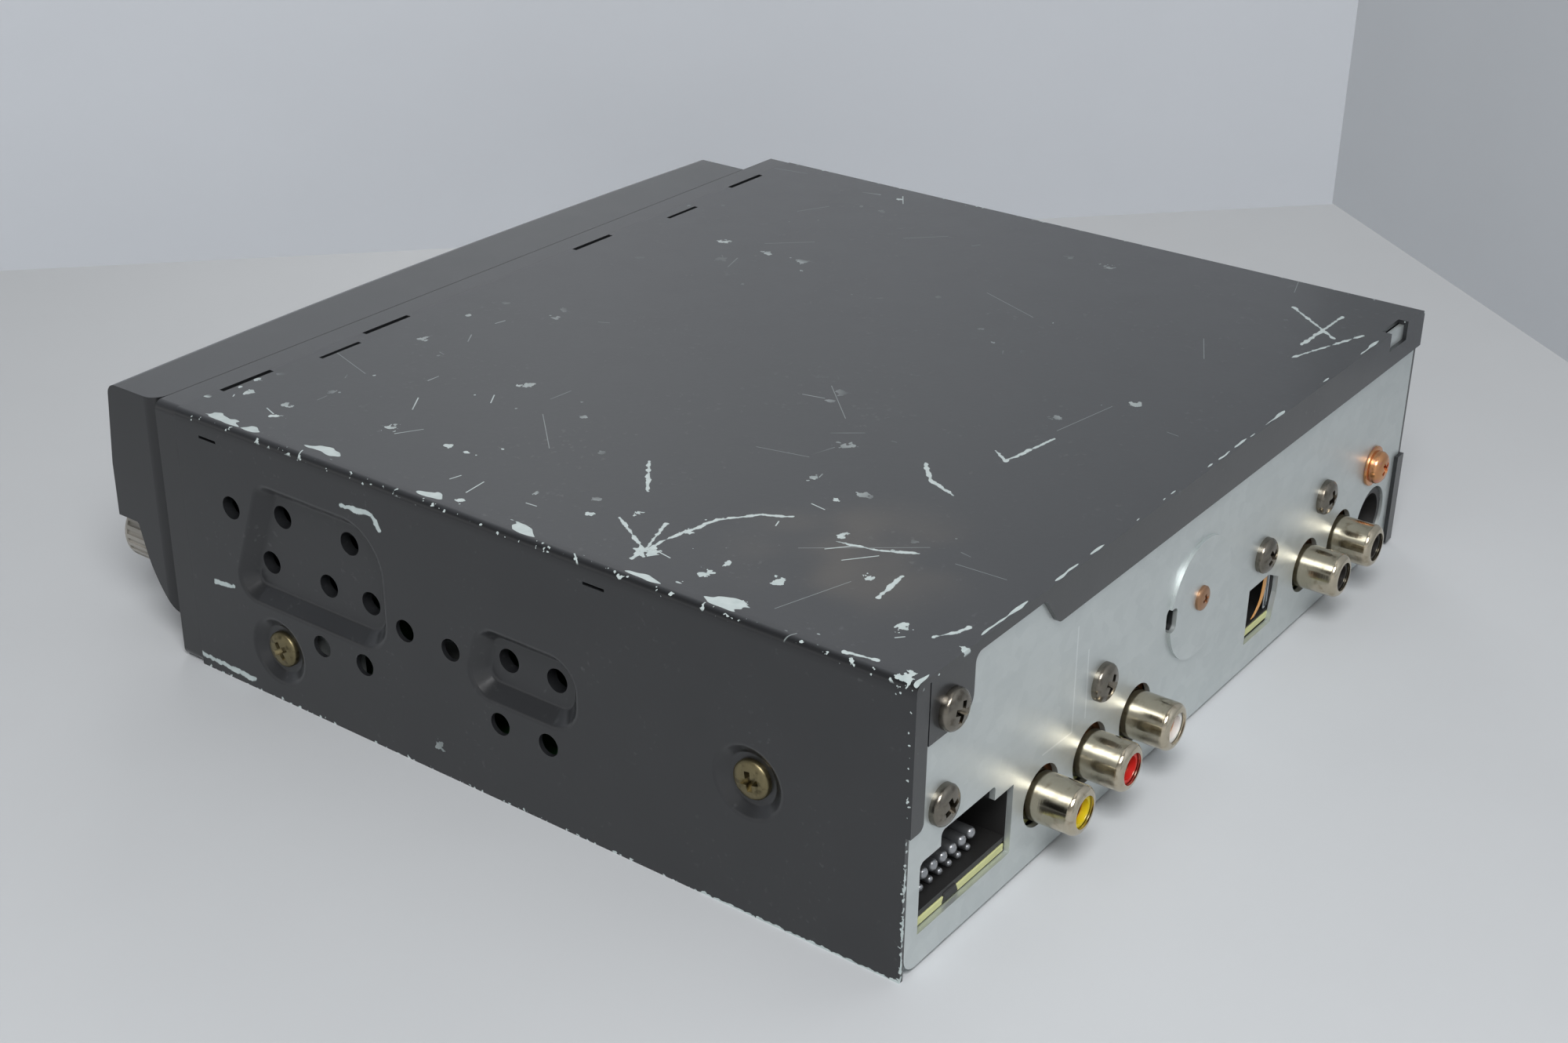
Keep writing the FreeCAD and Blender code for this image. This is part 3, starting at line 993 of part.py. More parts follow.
# Disc drive: motor, turntable, and the arm that lowers the clamp onto the disc
def make_disc_drive():
    can = rod("SpindleCan", "z", "spindle_radius", "spindle_high", "0", "spindle_y", MECH_FLOOR)
    shaft = rod("SpindleShaft", "z", "spindle_shaft", f"disc_level - table_gap - {MECH_FLOOR}", "0",
                "spindle_y",
                MECH_FLOOR)
    keep(join("SpindleMotor", [can, shaft]), "spindle_motor")
    low = f"({MECH_FLOOR} + spindle_high + table_gap)"
    stem = rod("TableStem", "z", "hub_radius * 0.7", f"disc_level - {low}", "0", "spindle_y", low)
    flange = rod("TableFlange", "z", "table_radius", "table_thick", "0", "spindle_y",
                 "disc_level - table_thick")
    hub = taper("TableHub", "z", "hub_radius", "hub_tip", "hub_rise", "0", "spindle_y", "disc_level")
    bore = rod("TableBore", "z", "spindle_shaft + run_gap", f"disc_level - {low} + 1", "0", "spindle_y",
               f"{low} - 1")
    keep(carve("Turntable", join("TableBlank", [stem, flange, hub]), [bore]), "turntable")
    level = ("arm_level", "arm_level + arm_thick")
    middle = "arm_level + arm_thick / 2"
    bar_end = "mech_half - mech_thick - 0.4"
    arm = [block("ArmBar", ("0 - arm_bar", "arm_bar"), ("spindle_y", "arm_pivot_y"), level),
           block("ArmCross", (f"0 - ({bar_end})", bar_end), ("arm_pivot_y - 5", "arm_pivot_y + 5"), level),
           rod("ArmNose", "z", "arm_nose", "arm_thick", "0", "spindle_y", "arm_level"),
           rod("ArmPin", "x", "pivot_radius", "mech_half * 2 - 0.2", "0.1 - mech_half", "arm_pivot_y",
               middle)]
    eye = rod("ArmEye", "z", "clamp_neck + run_gap", "arm_thick + 2", "0", "spindle_y", "arm_level - 1")
    keep(carve("ClampArm", join("ArmBlank", arm), [eye]), "clamp_arm")
    base = "(arm_level - arm_play - clamp_thick)"
    plate = rod("ClampPlate", "z", "clamp_radius", "clamp_thick", "0", "spindle_y", base)
    neck = rod("ClampNeck", "z", "clamp_neck", "clamp_thick + arm_thick + arm_play * 2", "0", "spindle_y",
               base)
    button = rod("ClampButton", "z", "clamp_button", "arm_thick", "0", "spindle_y",
                 "arm_level + arm_thick + arm_play")
    cup = rod("ClampCup", "z", "clamp_cup", "clamp_cup_deep + 1", "0", "spindle_y", f"{base} - 1")
    keep(carve("ClampDisc", join("ClampBlank", [plate, neck, button]), [cup]), "clamp_disc")


# Laser sled on two rods, moved by a lead screw
def make_sled():
    rods = [rod(f"GuideRod{row}", "x", "rod_radius", "mech_half - rod_start - 1.1", "rod_start + 1", y,
                "rod_level")
            for row, y in (("Front", "rod_front"), ("Rear", "rod_rear"))]
    keep(group("GuideRods", rods), "guide_rods")
    east = "sled_inner + sled_long"
    top = "sled_low + sled_high"
    base = block("SledBase", ("sled_inner", east), ("rod_front - 3", "rod_rear + 3"), ("sled_low", top))
    nut = block("SledNut", ("sled_inner", "sled_inner + nut_wide"), ("rod_rear", "screw_y + 4"),
                ("sled_low", top))
    holes = [rod(f"SledHole{row}", "x", "rod_radius + run_gap", "sled_long + 2", "sled_inner - 1", y,
                 "rod_level")
             for row, y in (("Front", "rod_front"), ("Rear", "rod_rear"))]
    holes.append(rod("NutHole", "x", "screw_core + thread_high + nut_gap", "nut_wide + 2", "sled_inner - 1",
                     "screw_y",
                     "rod_level"))
    keep(carve("Sled", join("SledBlank", [base, nut]), holes), "pickup_sled")
    rim = rod("LensRim", "z", "lens_radius * 1.5", "lens_high * 0.5", "lens_x", "spindle_y", top)
    dome = rod("LensDome", "z", "lens_radius", "lens_high", "lens_x", "spindle_y", top)
    keep(join("PickupLens", [rim, dome]), "pickup_lens")
    west = "(rod_start - 2)"
    core = rod("ScrewCore", "x", "screw_core", f"mech_half - mech_thick - 0.3 - {west} - 0.2",
               f"{west} + 0.2",
               "screw_y", "rod_level")
    journal = rod("ScrewJournal", "x", "screw_journal", f"mech_half - {west} - 0.4", f"{west} + 0.2",
                  "screw_y",
                  "rod_level")
    keep(join("LeadScrew", [core, journal, thread("ScrewThread", west)]), "lead_screw")
    keep(rod("SledMotor", "x", "tracker_radius", "tracker_long", f"{west} - tracker_long", "screw_y",
             "rod_level"),
         "sled_motor")


def thread(name, west):
    # a ridge of triangular section wound along the screw
    radius = "(screw_core - 0.05)"
    coil = doc.addObject("Part::Helix", name + "Coil")
    tie(coil, "Pitch", "thread_pitch")
    tie(coil, "Height", f"mech_half - mech_thick - 8 - {west}")
    tie(coil, "Radius", radius)
    peak, foot = "thread_high + 0.05", "thread_pitch * 0.2"
    ridge = doc.addObject("Part::Feature", name + "Ridge")
    inner, outer, rise = number(radius), number(f"{radius} + {peak}"), number(foot)
    corners = [FreeCAD.Vector(inner, 0, -rise), FreeCAD.Vector(outer, 0, -rise * 0.3),
               FreeCAD.Vector(outer, 0, rise * 0.3), FreeCAD.Vector(inner, 0, rise)]
    ridge.Shape = Part.makePolygon(corners + corners[:1])
    item = doc.addObject("Part::Sweep", name)
    item.Sections = [ridge]
    item.Spine = (coil, ["Edge1"])
    item.Solid = True
    item.Frenet = True
    item.Placement = FreeCAD.Placement(FreeCAD.Vector(), TURNS["x"])
    place(item, f"{west} + 4", "screw_y", "rod_level")
    return item


# Front frame with the disc slot and the hinge pins of the faceplate
def make_front_frame():
    body = new_body("Frame")
    seam = f"0 - {FRONT}"
    wide, high = f"({HALF} - band_wall)", "(case_height - band_wall)"
    outline = sketch(body, "FrameOutline", "XZ_Plane", seam)
    draw_box(outline, (f"0 - {HALF}", HALF), ("0", "case_height"), "corner_round")
    pad(body, outline, "band_deep")
    spigot = sketch(body, "FrameSpigot", "XZ_Plane", seam)
    edge = f"({INSIDE} - nest_gap)"
    draw_box(spigot, (f"0 - {edge}", edge), ("floor_thick + nest_gap",
                                             "case_height - cover_thick - nest_gap"),
             "spigot_lip")
    pad(body, spigot, "spigot_deep", flip=True)
    hollow = sketch(body, "FrameHollow", "XZ_Plane", f"{seam} - spigot_deep")
    draw_box(hollow, (f"spigot_wall - {edge}", f"{edge} - spigot_wall"),
             ("floor_thick + nest_gap + spigot_wall", "case_height - cover_thick - nest_gap - spigot_wall"))
    pocket(body, hollow, "spigot_deep + band_deep - face_wall", flip=True)
    slots = sketch(body, "FrameSlots", "XZ_Plane", f"0 - {BAND_FRONT}")
    draw_box(slots, ("0 - slot_half", "slot_half"), ("slot_low", "slot_low + slot_high"))
    middle = "(release_left / 2 + release_right / 2)"
    level = "(release_low + release_high / 2)"
    draw_box(slots, (f"{middle} - stem_wide / 2 - stem_gap", f"{middle} + stem_wide / 2 + stem_gap"),
             (f"{level} - stem_high / 2 - stem_gap", f"{level} + stem_high / 2 + stem_gap"))
    pocket(body, slots, "face_wall + 0.5")
    arms = sketch(body, "HingeArms", "XZ_Plane", f"0 - {BAND_FRONT}")
    pins = []
    for name, z in (("Low", "hinge_low"), ("Top", "hinge_top")):
        draw_box(arms, ("hinge_x - arm_wide / 2", "hinge_x + arm_wide / 2"), (f"{z} - arm_high", z))
    pad(body, arms, f"{BAND_FRONT} - hinge_y + arm_wide / 2")
    for name, z in (("Low", "hinge_low"), ("Top", "hinge_top")):
        pin = sketch(body, f"HingePin{name}", "XY_Plane", z)
        draw_circle(pin, "hinge_x", "hinge_y", "hinge_pin")
        pad(body, pin, "pin_high")
    return keep(body, "front_frame")


# Faceplate: a hollow moulding with an overhanging nose above a slanted row of keys
def bow(body, name, level, nose, side, slope=None):
    # trims everything in front of a shallow arc, leaning back with height when a slope is given
    item = sketch(body, name, "XY_Plane", level)
    reach, sag = "(face_half * 1.1)", "nose_sag"
    draw(item, [("0", f"{nose} - {sag}", f"face_half ^ 2 / (2 * {sag})"),
                (reach, f"{nose} - {sag} + 2 * {sag} * 1.1"), (reach, f"{nose} - 20"),
                (f"0 - {reach}", f"{nose} - 20"),
                (f"0 - {reach}", f"{nose} - {sag} + 2 * {sag} * 1.1")])
    return pocket(body, item, f"{side}", flip=True, slope=slope)


def face_form(name):
    body = new_body(name)
    profile = sketch(body, name + "Profile", "YZ_Plane")
    draw(profile, [(FACE_BACK, "face_top"), ("nose_y", "face_top"), ("nose_y", "ledge_z", "2"),
                   ("ledge_y", "ledge_z", "0.6"), ("chin_y", "chin_z", "chin_round"),
                   (FACE_BACK, "face_low")])
    pad(body, profile, "face_half * 2", both=True)
    bow(body, name + "NoseBow", "0", "nose_y", "case_height + 5")
    bow(body, name + "BrowBow", "nose_z", "nose_y", "case_height", slope="brow_slope")
    corner = sketch(body, name + "Step", "XZ_Plane", f"0 - {FACE_BACK} - 1")
    draw(corner, [("0 - face_half - 1", "step_z"), ("step_x", "step_z", "1.5"), ("step_x", "face_top + 1"),
                  ("0 - face_half - 1", "face_top + 1")])
    last = pocket(body, corner, "30", flip=True)
    doc.recompute()
    return body, last


def soften(body, name, base, radius, inside):
    doc.recompute()
    edges = []
    for index, edge in enumerate(base.Shape.Edges, start=1):
        box = edge.BoundBox
        spans = ((box.XMin, box.XMax), (box.YMin, box.YMax), (box.ZMin, box.ZMax))
        if all(low - 0.01 <= span[0] and span[1] <= high + 0.01 for span,
               (low, high) in zip(spans, inside)):
            edges.append(f"Edge{index}")
    item = body.newObject("PartDesign::Fillet", name)
    item.Base = (base, edges)
    tie(item, "Radius", radius)
    doc.recompute()
    return item


def make_faceplate_shell():
    body, form = face_form("Shell")
    edge = number("face_half")
    back, nose = number(FACE_BACK), number("nose_y")
    brow = soften(body, "ShellBrow", form, "brow_round",
                  ((-edge, edge), (nose, nose + 6), (number("face_top"), number("face_top"))))
    heel = soften(body, "ShellHeel", brow, "heel_round",
                  ((edge, edge), (back, back), (number("face_low"), number("face_top"))))
    half = "(face_half - shell_wall)"
    inner = [(f"{FACE_BACK} + 1", "cavity_low"), (f"{FACE_BACK} - 1.1", "cavity_low"),
             ("cavity_chin", "cavity_turn"),
             ("cavity_ledge", "cavity_rise"), ("cavity_front", "cavity_rise"),
             ("cavity_front", "nose_z + 6"),
             ("cavity_front + 1.6", "face_top - shell_wall"), (f"{FACE_BACK} + 1", "face_top - shell_wall")]
    main = sketch(body, "ShellCavity", "YZ_Plane", half)
    draw(main, inner)
    pocket(body, main, f"{half} - step_x - shell_wall")
    low = sketch(body, "ShellCavityLow", "YZ_Plane", "step_x + shell_wall + 0.1")
    draw(low, inner[:5] + [("cavity_front", "step_z - shell_wall"),
                           (f"{FACE_BACK} + 1", "step_z - shell_wall")])
    pocket(body, low, f"step_x + shell_wall + 0.1 + {half}")
    tunnel = sketch(body, "SlotTunnel", "XZ_Plane", f"0 - {FACE_BACK} + back_gap + back_thick + 0.2")
    draw_box(tunnel, ("0 - mouth_half - tunnel_wall", "mouth_half + tunnel_wall"),
             ("mouth_low - tunnel_wall", "mouth_low + mouth_high + tunnel_wall"))
    pad(body, tunnel, f"0 - cavity_front + 0.8 + {FACE_BACK} - back_gap - back_thick - 0.2")
    boss = sketch(body, "KnobCollar", "XZ_Plane", "0 - cavity_chin")
    draw_circle(boss, "knob_x", "knob_z", "collar_out")
    pad(body, boss, "cavity_chin - knob_back - 0.3")
    mouth = sketch(body, "DiscMouth", "XZ_Plane", "0 - nose_y + 3")
    draw_box(mouth, ("0 - mouth_half", "mouth_half"), ("mouth_low", "mouth_low + mouth_high"), "0.6")
    pocket(body, mouth, "30")
    holes = sketch(body, "FaceHoles", "XZ_Plane", "0 - nose_y + 3")
    for index in range(6):
        left = f"(key_first + key_pitch * {index})"
        draw_box(holes, (f"{left} - key_gap", f"{left} + key_long + key_gap"),
                 ("key_low - key_gap", "key_low + key_high + key_gap"))
    draw_box(holes, ("window_left", "window_right"), ("view_low", "view_low + view_high"))
    draw_circle(holes, "source_x", "source_z", "source_radius + key_gap")
    draw_box(holes, ("rocker_x - rocker_long / 2 - key_gap", "rocker_x + rocker_long / 2 + key_gap"),
             ("rocker_low - key_gap", "rocker_low + rocker_high + key_gap"))
    draw_box(holes, ("eject_x - eject_long / 2 - key_gap", "eject_x + eject_long / 2 + key_gap"),
             ("eject_low - key_gap", "eject_low + eject_high + key_gap"))
    draw_circle(holes, "knob_x", "knob_z", "knob_shaft + run_gap")
    pocket(body, holes, f"0 - nose_y + 3 + {FACE_BACK} - 1.2")
    pivot = sketch(body, "RockerPivot", "XY_Plane", "rocker_low - rocker_pin * 1.6")
    draw_circle(pivot, "rocker_x", "rocker_y", "rocker_pin + run_gap")
    pocket(body, pivot, "rocker_high + rocker_pin * 3.2", flip=True)
    return keep(body, "faceplate_shell")


def make_faceplate_back():
    half = "(face_half - shell_wall - back_gap)"
    front, back = f"({FACE_BACK} - back_gap - back_thick)", f"({FACE_BACK} - back_gap)"
    plate = block("BackPlate", (f"0 - {half}", half), (front, back),
                  ("plate_low", "face_top - shell_wall - back_gap"))
    cuts = [block("BackStep", (f"0 - {half} - 1", "step_x + shell_wall + back_gap + 0.2"),
                  (f"{front} - 1", f"{back} + 1"),
                  ("step_z - shell_wall - back_gap", "face_top")),
            block("BackMouth", ("0 - mouth_half", "mouth_half"), (f"{front} - 1", f"{back} + 1"),
                  ("mouth_low", "mouth_low + mouth_high"))]
    bosses = []
    for name, z in (("Low", "hinge_low"), ("Top", "hinge_top")):
        room = "(arm_wide / 2 + arm_room)"
        cuts.append(block(f"ArmRoom{name}", (f"hinge_x - {room}", f"{half} + 1"),
                          (f"{front} - 1", f"{back} + 1"),
                          (f"{z} - arm_high - arm_room", f"{z} + arm_room")))
        bosses.append(block(f"HingeBoss{name}", (f"hinge_x - {room}", half),
                            ("hinge_y - arm_wide / 2 - 0.6", back),
                            (f"{z} + arm_room", f"{z} + arm_room + pin_high * 0.8")))
        cuts.append(rod(f"HingeEye{name}", "z", "hinge_pin + hinge_gap", "pin_high + 3", "hinge_x",
                        "hinge_y", f"{z} - 0.5"))
    return keep(carve("FaceBack", join("BackBlank", [plate] + bosses), cuts), "faceplate_back")


# Window, keys and knobs on the faceplate
def capped(name, tool, form, proud):
    # a cap cut to the curve of the faceplate, standing proud of it
    front = group(name + "Face", [form])
    place(front, y=f"0 - {proud}")
    return overlap(name, tool, front)


def make_face_controls():
    form, last = face_form("FaceForm")
    nose = "nose_y - 6"
    for index in range(6):
        left = f"(key_first + key_pitch * {index})"
        cap = block(f"KeyBlock{index + 1}", (left, f"{left} + key_long"), (nose, "key_back"),
                    ("key_low", "key_low + key_high"))
        top = capped(f"KeyCap{index + 1}", cap, form, "key_proud")
        rim = block(f"KeyRim{index + 1}", (f"{left} - key_rim", f"{left} + key_long + key_rim"),
                    ("cavity_chin + 0.3", "key_back"), ("cavity_turn + 0.3",
                                                        "key_low + key_high + key_rim"))
        keep(join(f"Key{index + 1}", [top, rim]), f"key_{index + 1}")
    pane = block("WindowBlock", ("window_left + 0.05", "window_right - 0.05"), (nose, "glass_back"),
                 ("view_low + 0.05", "view_low + view_high - 0.05"))
    keep(overlap("DisplayWindow", pane, form), "display_window")
    keep(block("DisplayPanel", ("window_left - 2", "window_right + 2"),
               ("cavity_front", "cavity_front + panel_deep"),
               ("cavity_rise + 0.1", "view_low + view_high + 0.9")), "display_panel")
    stub = rod("SourceBlock", "y", "source_radius", f"source_back - ({nose})", "source_x", nose, "source_z")
    rim = rod("SourceRim", "y", "source_radius + key_rim", "source_back - cavity_front - 0.3", "source_x",
              "cavity_front + 0.3", "source_z")
    keep(join("SourceKey", [capped("SourceCap", stub, form, "key_proud"), rim]), "source_key")
    eject = block("EjectBlock", ("eject_x - eject_long / 2", "eject_x + eject_long / 2"),
                  (nose, "source_back"),
                  ("eject_low", "eject_low + eject_high"))
    rim = block("EjectRim", ("eject_x - eject_long / 2 - key_rim", "eject_x + eject_long / 2 + key_rim"),
                ("cavity_front + 1", "source_back"), ("eject_low - key_rim",
                                                      "eject_low + eject_high + key_rim"))
    keep(join("EjectButton", [capped("EjectCap", eject, form, "key_proud"), rim]), "eject_button")
    bar = block("RockerBlock", ("rocker_x - rocker_long / 2", "rocker_x + rocker_long / 2"),
                (nose, "rocker_back"),
                ("rocker_low", "rocker_low + rocker_high"))
    pins = rod("RockerPins", "z", "rocker_pin", "rocker_high + rocker_pin * 2.6", "rocker_x", "rocker_y",
               "rocker_low - rocker_pin * 1.3")
    keep(join("SeekRocker", [capped("RockerCap", bar, form, "key_proud"), pins]), "seek_rocker")
    make_release(form)


def make_release(form):
    level = "(release_low + release_high / 2)"
    middle = "(release_left / 2 + release_right / 2)"
    cap = block("ReleaseCap", ("release_left", "release_right"),
                ("release_front", f"{BAND_FRONT} - release_room"),
                ("release_low", "release_low + release_high"))
    stem = block("ReleaseStem", (f"{middle} - stem_wide / 2", f"{middle} + stem_wide / 2"),
                 (f"{BAND_FRONT} - release_room", f"{BAND_FRONT} + face_wall + 1"),
                 (f"{level} - stem_high / 2", f"{level} + stem_high / 2"))
    keep(join("ReleaseButton", [cap, stem]), "release_button")


def make_volume_knob():
    long = "(knob_back - knob_front)"
    drum = rod("KnobDrum", "y", "knob_radius", f"{long} - knob_crown", "knob_x", "knob_front + knob_crown",
               "knob_z")
    crown = taper("KnobCrown", "y", "knob_radius - knob_crown", "knob_radius", "knob_crown", "knob_x",
                  "knob_front",
                  "knob_z")
    shaft = rod("KnobShaft", "y", "knob_shaft", "shaft_in - knob_back + 0.5", "knob_x", "knob_back - 0.5",
                "knob_z")
    mark = block("KnobMark", ("knob_x - 0.4", "knob_x + 0.4"), ("knob_front - 1", "knob_front + 0.4"),
                 ("knob_z + knob_radius * 0.35", "knob_z + knob_radius + 1"))
    grooves = [mark]
    for index in range(SIZES["knob_flutes"]):
        angle = f"({index} * 360 / knob_flutes + 180 / knob_flutes)"
        grooves.append(rod(f"Flute{index + 1}", "y", "flute_radius", f"{long} - 3",
                           f"knob_x + knob_radius * sin({angle})",
                           "knob_front + 1.4", f"knob_z + knob_radius * cos({angle})"))
    keep(carve("VolumeKnob", join("KnobBlank", [drum, crown, shaft]), grooves), "volume_knob")


def check_and_write():
    doc.recompute()
    for item in doc.Objects:
        if "Invalid" in item.State or "Error" in item.State:
            raise RuntimeError(f"{item.Name} failed: {item.State}")
    os.makedirs("parts", exist_ok=True)
    for item in PARTS:
        if item.Shape.isNull() or not item.Shape.isValid():
            raise RuntimeError(f"{item.Label} has no valid shape")
        item.Shape.exportStep(f"parts/{item.Label}.step")
        print(item.Label, len(item.Shape.Solids), round(item.Shape.Volume))


fill_sheet()
make_top_cover()
make_side_screws()
make_rear_screws()
make_boss_screw()
make_ground_screw()
make_base_chassis()
make_rear_panel()
make_jack_blocks()
make_jacks()
make_power_socket()
make_round_socket()
make_switch_block()
make_board()
make_mechanism_frame()
make_dampers()
make_loading_drive()
make_disc_drive()
make_sled()
make_front_frame()
make_faceplate_shell()
make_faceplate_back()
make_face_controls()
make_volume_knob()
check_and_write()
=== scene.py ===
# %% [markdown]
# # A car disc player, dressed for its picture
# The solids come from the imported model, and this lesson gives them light, finishes and the small shapes
# that make them look real. The real thing is a steel case under a worn charcoal cover, with a bare metal
# back full of sockets, and a hinged plastic face that carries the keys, the window and the knob.
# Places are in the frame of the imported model: X across, Y towards the back, Z up. Blender counts in
# metres, so a length in millimetres is multiplied by mm.

import json
import math

import bpy
import bmesh
from mathutils import Matrix, Vector

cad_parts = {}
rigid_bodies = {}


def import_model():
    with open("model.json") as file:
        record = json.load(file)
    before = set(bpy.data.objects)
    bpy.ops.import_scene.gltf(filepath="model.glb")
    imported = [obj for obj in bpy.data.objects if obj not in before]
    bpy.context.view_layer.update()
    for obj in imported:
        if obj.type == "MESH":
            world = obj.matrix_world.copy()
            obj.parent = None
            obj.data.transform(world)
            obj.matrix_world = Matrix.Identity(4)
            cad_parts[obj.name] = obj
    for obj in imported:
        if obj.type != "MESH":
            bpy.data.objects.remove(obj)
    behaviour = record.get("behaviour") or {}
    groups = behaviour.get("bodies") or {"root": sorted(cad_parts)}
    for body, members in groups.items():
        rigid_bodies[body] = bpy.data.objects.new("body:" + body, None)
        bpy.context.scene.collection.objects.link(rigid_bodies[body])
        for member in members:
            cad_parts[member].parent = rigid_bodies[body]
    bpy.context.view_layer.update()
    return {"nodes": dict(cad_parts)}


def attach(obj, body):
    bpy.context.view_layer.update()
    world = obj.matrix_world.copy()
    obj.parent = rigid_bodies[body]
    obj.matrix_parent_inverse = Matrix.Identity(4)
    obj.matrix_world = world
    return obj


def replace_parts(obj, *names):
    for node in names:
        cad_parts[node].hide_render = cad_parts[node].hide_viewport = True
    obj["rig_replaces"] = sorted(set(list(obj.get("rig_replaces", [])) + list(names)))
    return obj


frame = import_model()
mm = 0.001
print("solids loaded:", len(frame["nodes"]))

# %% [markdown]
# ## The camera
# The picture was taken from behind the big side and from above, close enough for strong perspective.
# The place, the turn and the lens below are those at which the corners of the case, its screws and its
# sockets fall where they are in the picture.

# %% Camera
turn_round, height_angle, roll = (math.radians(angle) for angle in (125.957, 26.549, 0.814))
backward = Vector((
    math.sin(turn_round) * math.cos(height_angle),
    -math.cos(turn_round) * math.cos(height_angle),
    math.sin(height_angle),
))
level = Vector((0, 0, 1)).cross(backward).normalized()
upward = backward.cross(level)
rightward = math.cos(roll) * level + math.sin(roll) * upward
upward = math.cos(roll) * upward - math.sin(roll) * level

lens = bpy.data.cameras.new("camera")
lens.sensor_width = 36
lens.lens = 50.63
lens.clip_start = 0.01
camera = bpy.data.objects.new("camera", lens)
bpy.context.scene.collection.objects.link(camera)
camera_place = Vector((0.30527, 0.21023, 0.20133))
camera_axes = Matrix((rightward, upward, backward)).transposed().to_4x4()
camera.matrix_world = Matrix.Translation(camera_place) @ camera_axes
bpy.context.scene.camera = camera
bpy.context.scene.view_settings.view_transform = "Standard"
print("camera looks along", tuple(round(part, 3) for part in -backward))

# %% [markdown]
# ## Finishes as sums
# A finish here is a small net of nodes. Writing such a net as sums keeps it short: a signal is one
# output of the net, and adding or multiplying two signals adds the node that does it. Anything that is
# no sum comes from the method called node, which takes the kind of node, its settings and what goes in.

# %% Signals and finishes
class Signal:
    """One output of a finish's nodes, to add, take away, multiply and divide."""

    def __init__(self, finish, socket):
        self.finish = finish
        self.socket = socket

    def sum_with(self, operation, first, second):
        return self.finish.node("ShaderNodeMath", {"operation": operation}, {0: first, 1: second})

    def __add__(self, other):
        return self.sum_with("ADD", self, other)

    def __sub__(self, other):
        return self.sum_with("SUBTRACT", self, other)

    def __rsub__(self, other):
        return self.sum_with("SUBTRACT", other, self)

    def __mul__(self, other):
        return self.sum_with("MULTIPLY", self, other)

    def __truediv__(self, other):
        return self.sum_with("DIVIDE", self, other)

    def __pow__(self, other):
        return self.sum_with("POWER", self, other)

    def least(self, other):
        return self.sum_with("MINIMUM", self, other)

    def most(self, other):
        return self.sum_with("MAXIMUM", self, other)

    def alone(self, operation):
        """Works on the signal alone: its cosine, its sine or its size without a sign."""
        return self.finish.node("ShaderNodeMath", {"operation": operation}, {0: self})

    __radd__ = __add__


class Finish:
    """A material with one shader, whose sockets take plain values or signals."""

    def __init__(self, name, roughness=0.5, metallic=0.0, **plain):
        self.material = bpy.data.materials.new(name)
        self.material.use_nodes = True
        self.tree = self.material.node_tree
        self.shader = self.tree.nodes["Principled BSDF"]
        self.shade(Roughness=roughness, Metallic=metallic)
        for socket, value in plain.items():
            self.shader.inputs[socket.replace("_", " ")].default_value = value
        self.place = self.node("ShaderNodeTexCoord", {}, {}, "Object")

    def node(self, kind, settings, sockets, out=0):
        """Adds a node: its settings first, then what its sockets take."""
        new = self.tree.nodes.new(kind)
        for name, value in settings.items():
            setattr(new, name, value)
        for socket, value in sockets.items():
            if isinstance(value, Signal):
                self.tree.links.new(value.socket, new.inputs[socket])
            else:
                new.inputs[socket].default_value = value
        return Signal(self, new.outputs[out])

    def shade(self, **values):
        """Gives the shader's sockets their values or signals."""
        for name, value in values.items():
            socket = self.shader.inputs[name.replace("_", " ")]
            if isinstance(value, Signal):
                self.tree.links.new(value.socket, socket)
            else:
                socket.default_value = value

    def vector(self, operation, first, second=None, out=0):
        """Works on a whole vector. Only a scale takes a single number, in its fourth socket."""
        sockets = {0: first}
        if second is not None:
            sockets[3 if operation == "SCALE" else 1] = second
        return self.node("ShaderNodeVectorMath", {"operation": operation}, sockets, out)

    def parts(self, whole, kind="ShaderNodeSeparateXYZ"):
        """The three parts of a vector or a colour."""
        split = self.node(kind, {}, {0: whole}).socket.node
        return [Signal(self, output) for output in split.outputs]

    def apart(self):
        """The three coordinates, in millimetres."""
        return self.parts(self.vector("SCALE", self.place, 1000.0))

    def stretched(self, x, y, z):
        """The place with each direction scaled, which draws a pattern out where the scale is small."""
        return self.vector("MULTIPLY", self.place, (x, y, z))

    def grain(self, size, place=None, detail=2.0, seed=0.0):
        """Soft noise from 0 to 1 whose lumps are about that many millimetres."""
        return self.node(
            "ShaderNodeTexNoise",
            {"noise_dimensions": "4D"},
            {"Vector": place or self.place, "W": seed, "Scale": 1000.0 / size, "Detail": detail},
        )

    def ramp(self, signal, low, high):
        """0 up to low, 1 from high on, and smooth between; the other way round where low is more."""
        if low < high:
            ends = {0: signal, 1: low, 2: high, 3: 0.0, 4: 1.0}
        else:
            ends = {0: signal, 1: high, 2: low, 3: 1.0, 4: 0.0}
        return self.node("ShaderNodeMapRange", {"interpolation_type": "SMOOTHSTEP"}, ends)

    def blend(self, share, first, second):
        """The first colour where the share is 0 and the second where it is 1."""
        return self.node("ShaderNodeMix", {"data_type": "RGBA"}, {0: share, 6: first, 7: second}, 2)

    def relief(self, height, depth, under=None):
        """The normal of a surface on which a height of 1 stands that many millimetres proud."""
        sockets = {"Height": height, "Distance": depth * mm, "Strength": 1.0}
        if under:
            sockets["Normal"] = under
        return self.node("ShaderNodeBump", {}, sockets)


def colour(red, green, blue):
    """The shader's colour for one that is given in the 0 to 255 of a picture."""
    parts = [part / 255 for part in (red, green, blue)]
    straight = [part / 12.92 if part < 0.04 else ((part + 0.055) / 1.055) ** 2.4 for part in parts]
    return (*straight, 1.0)


print("a mid grey is written", [round(part, 3) for part in colour(128, 128, 128)])

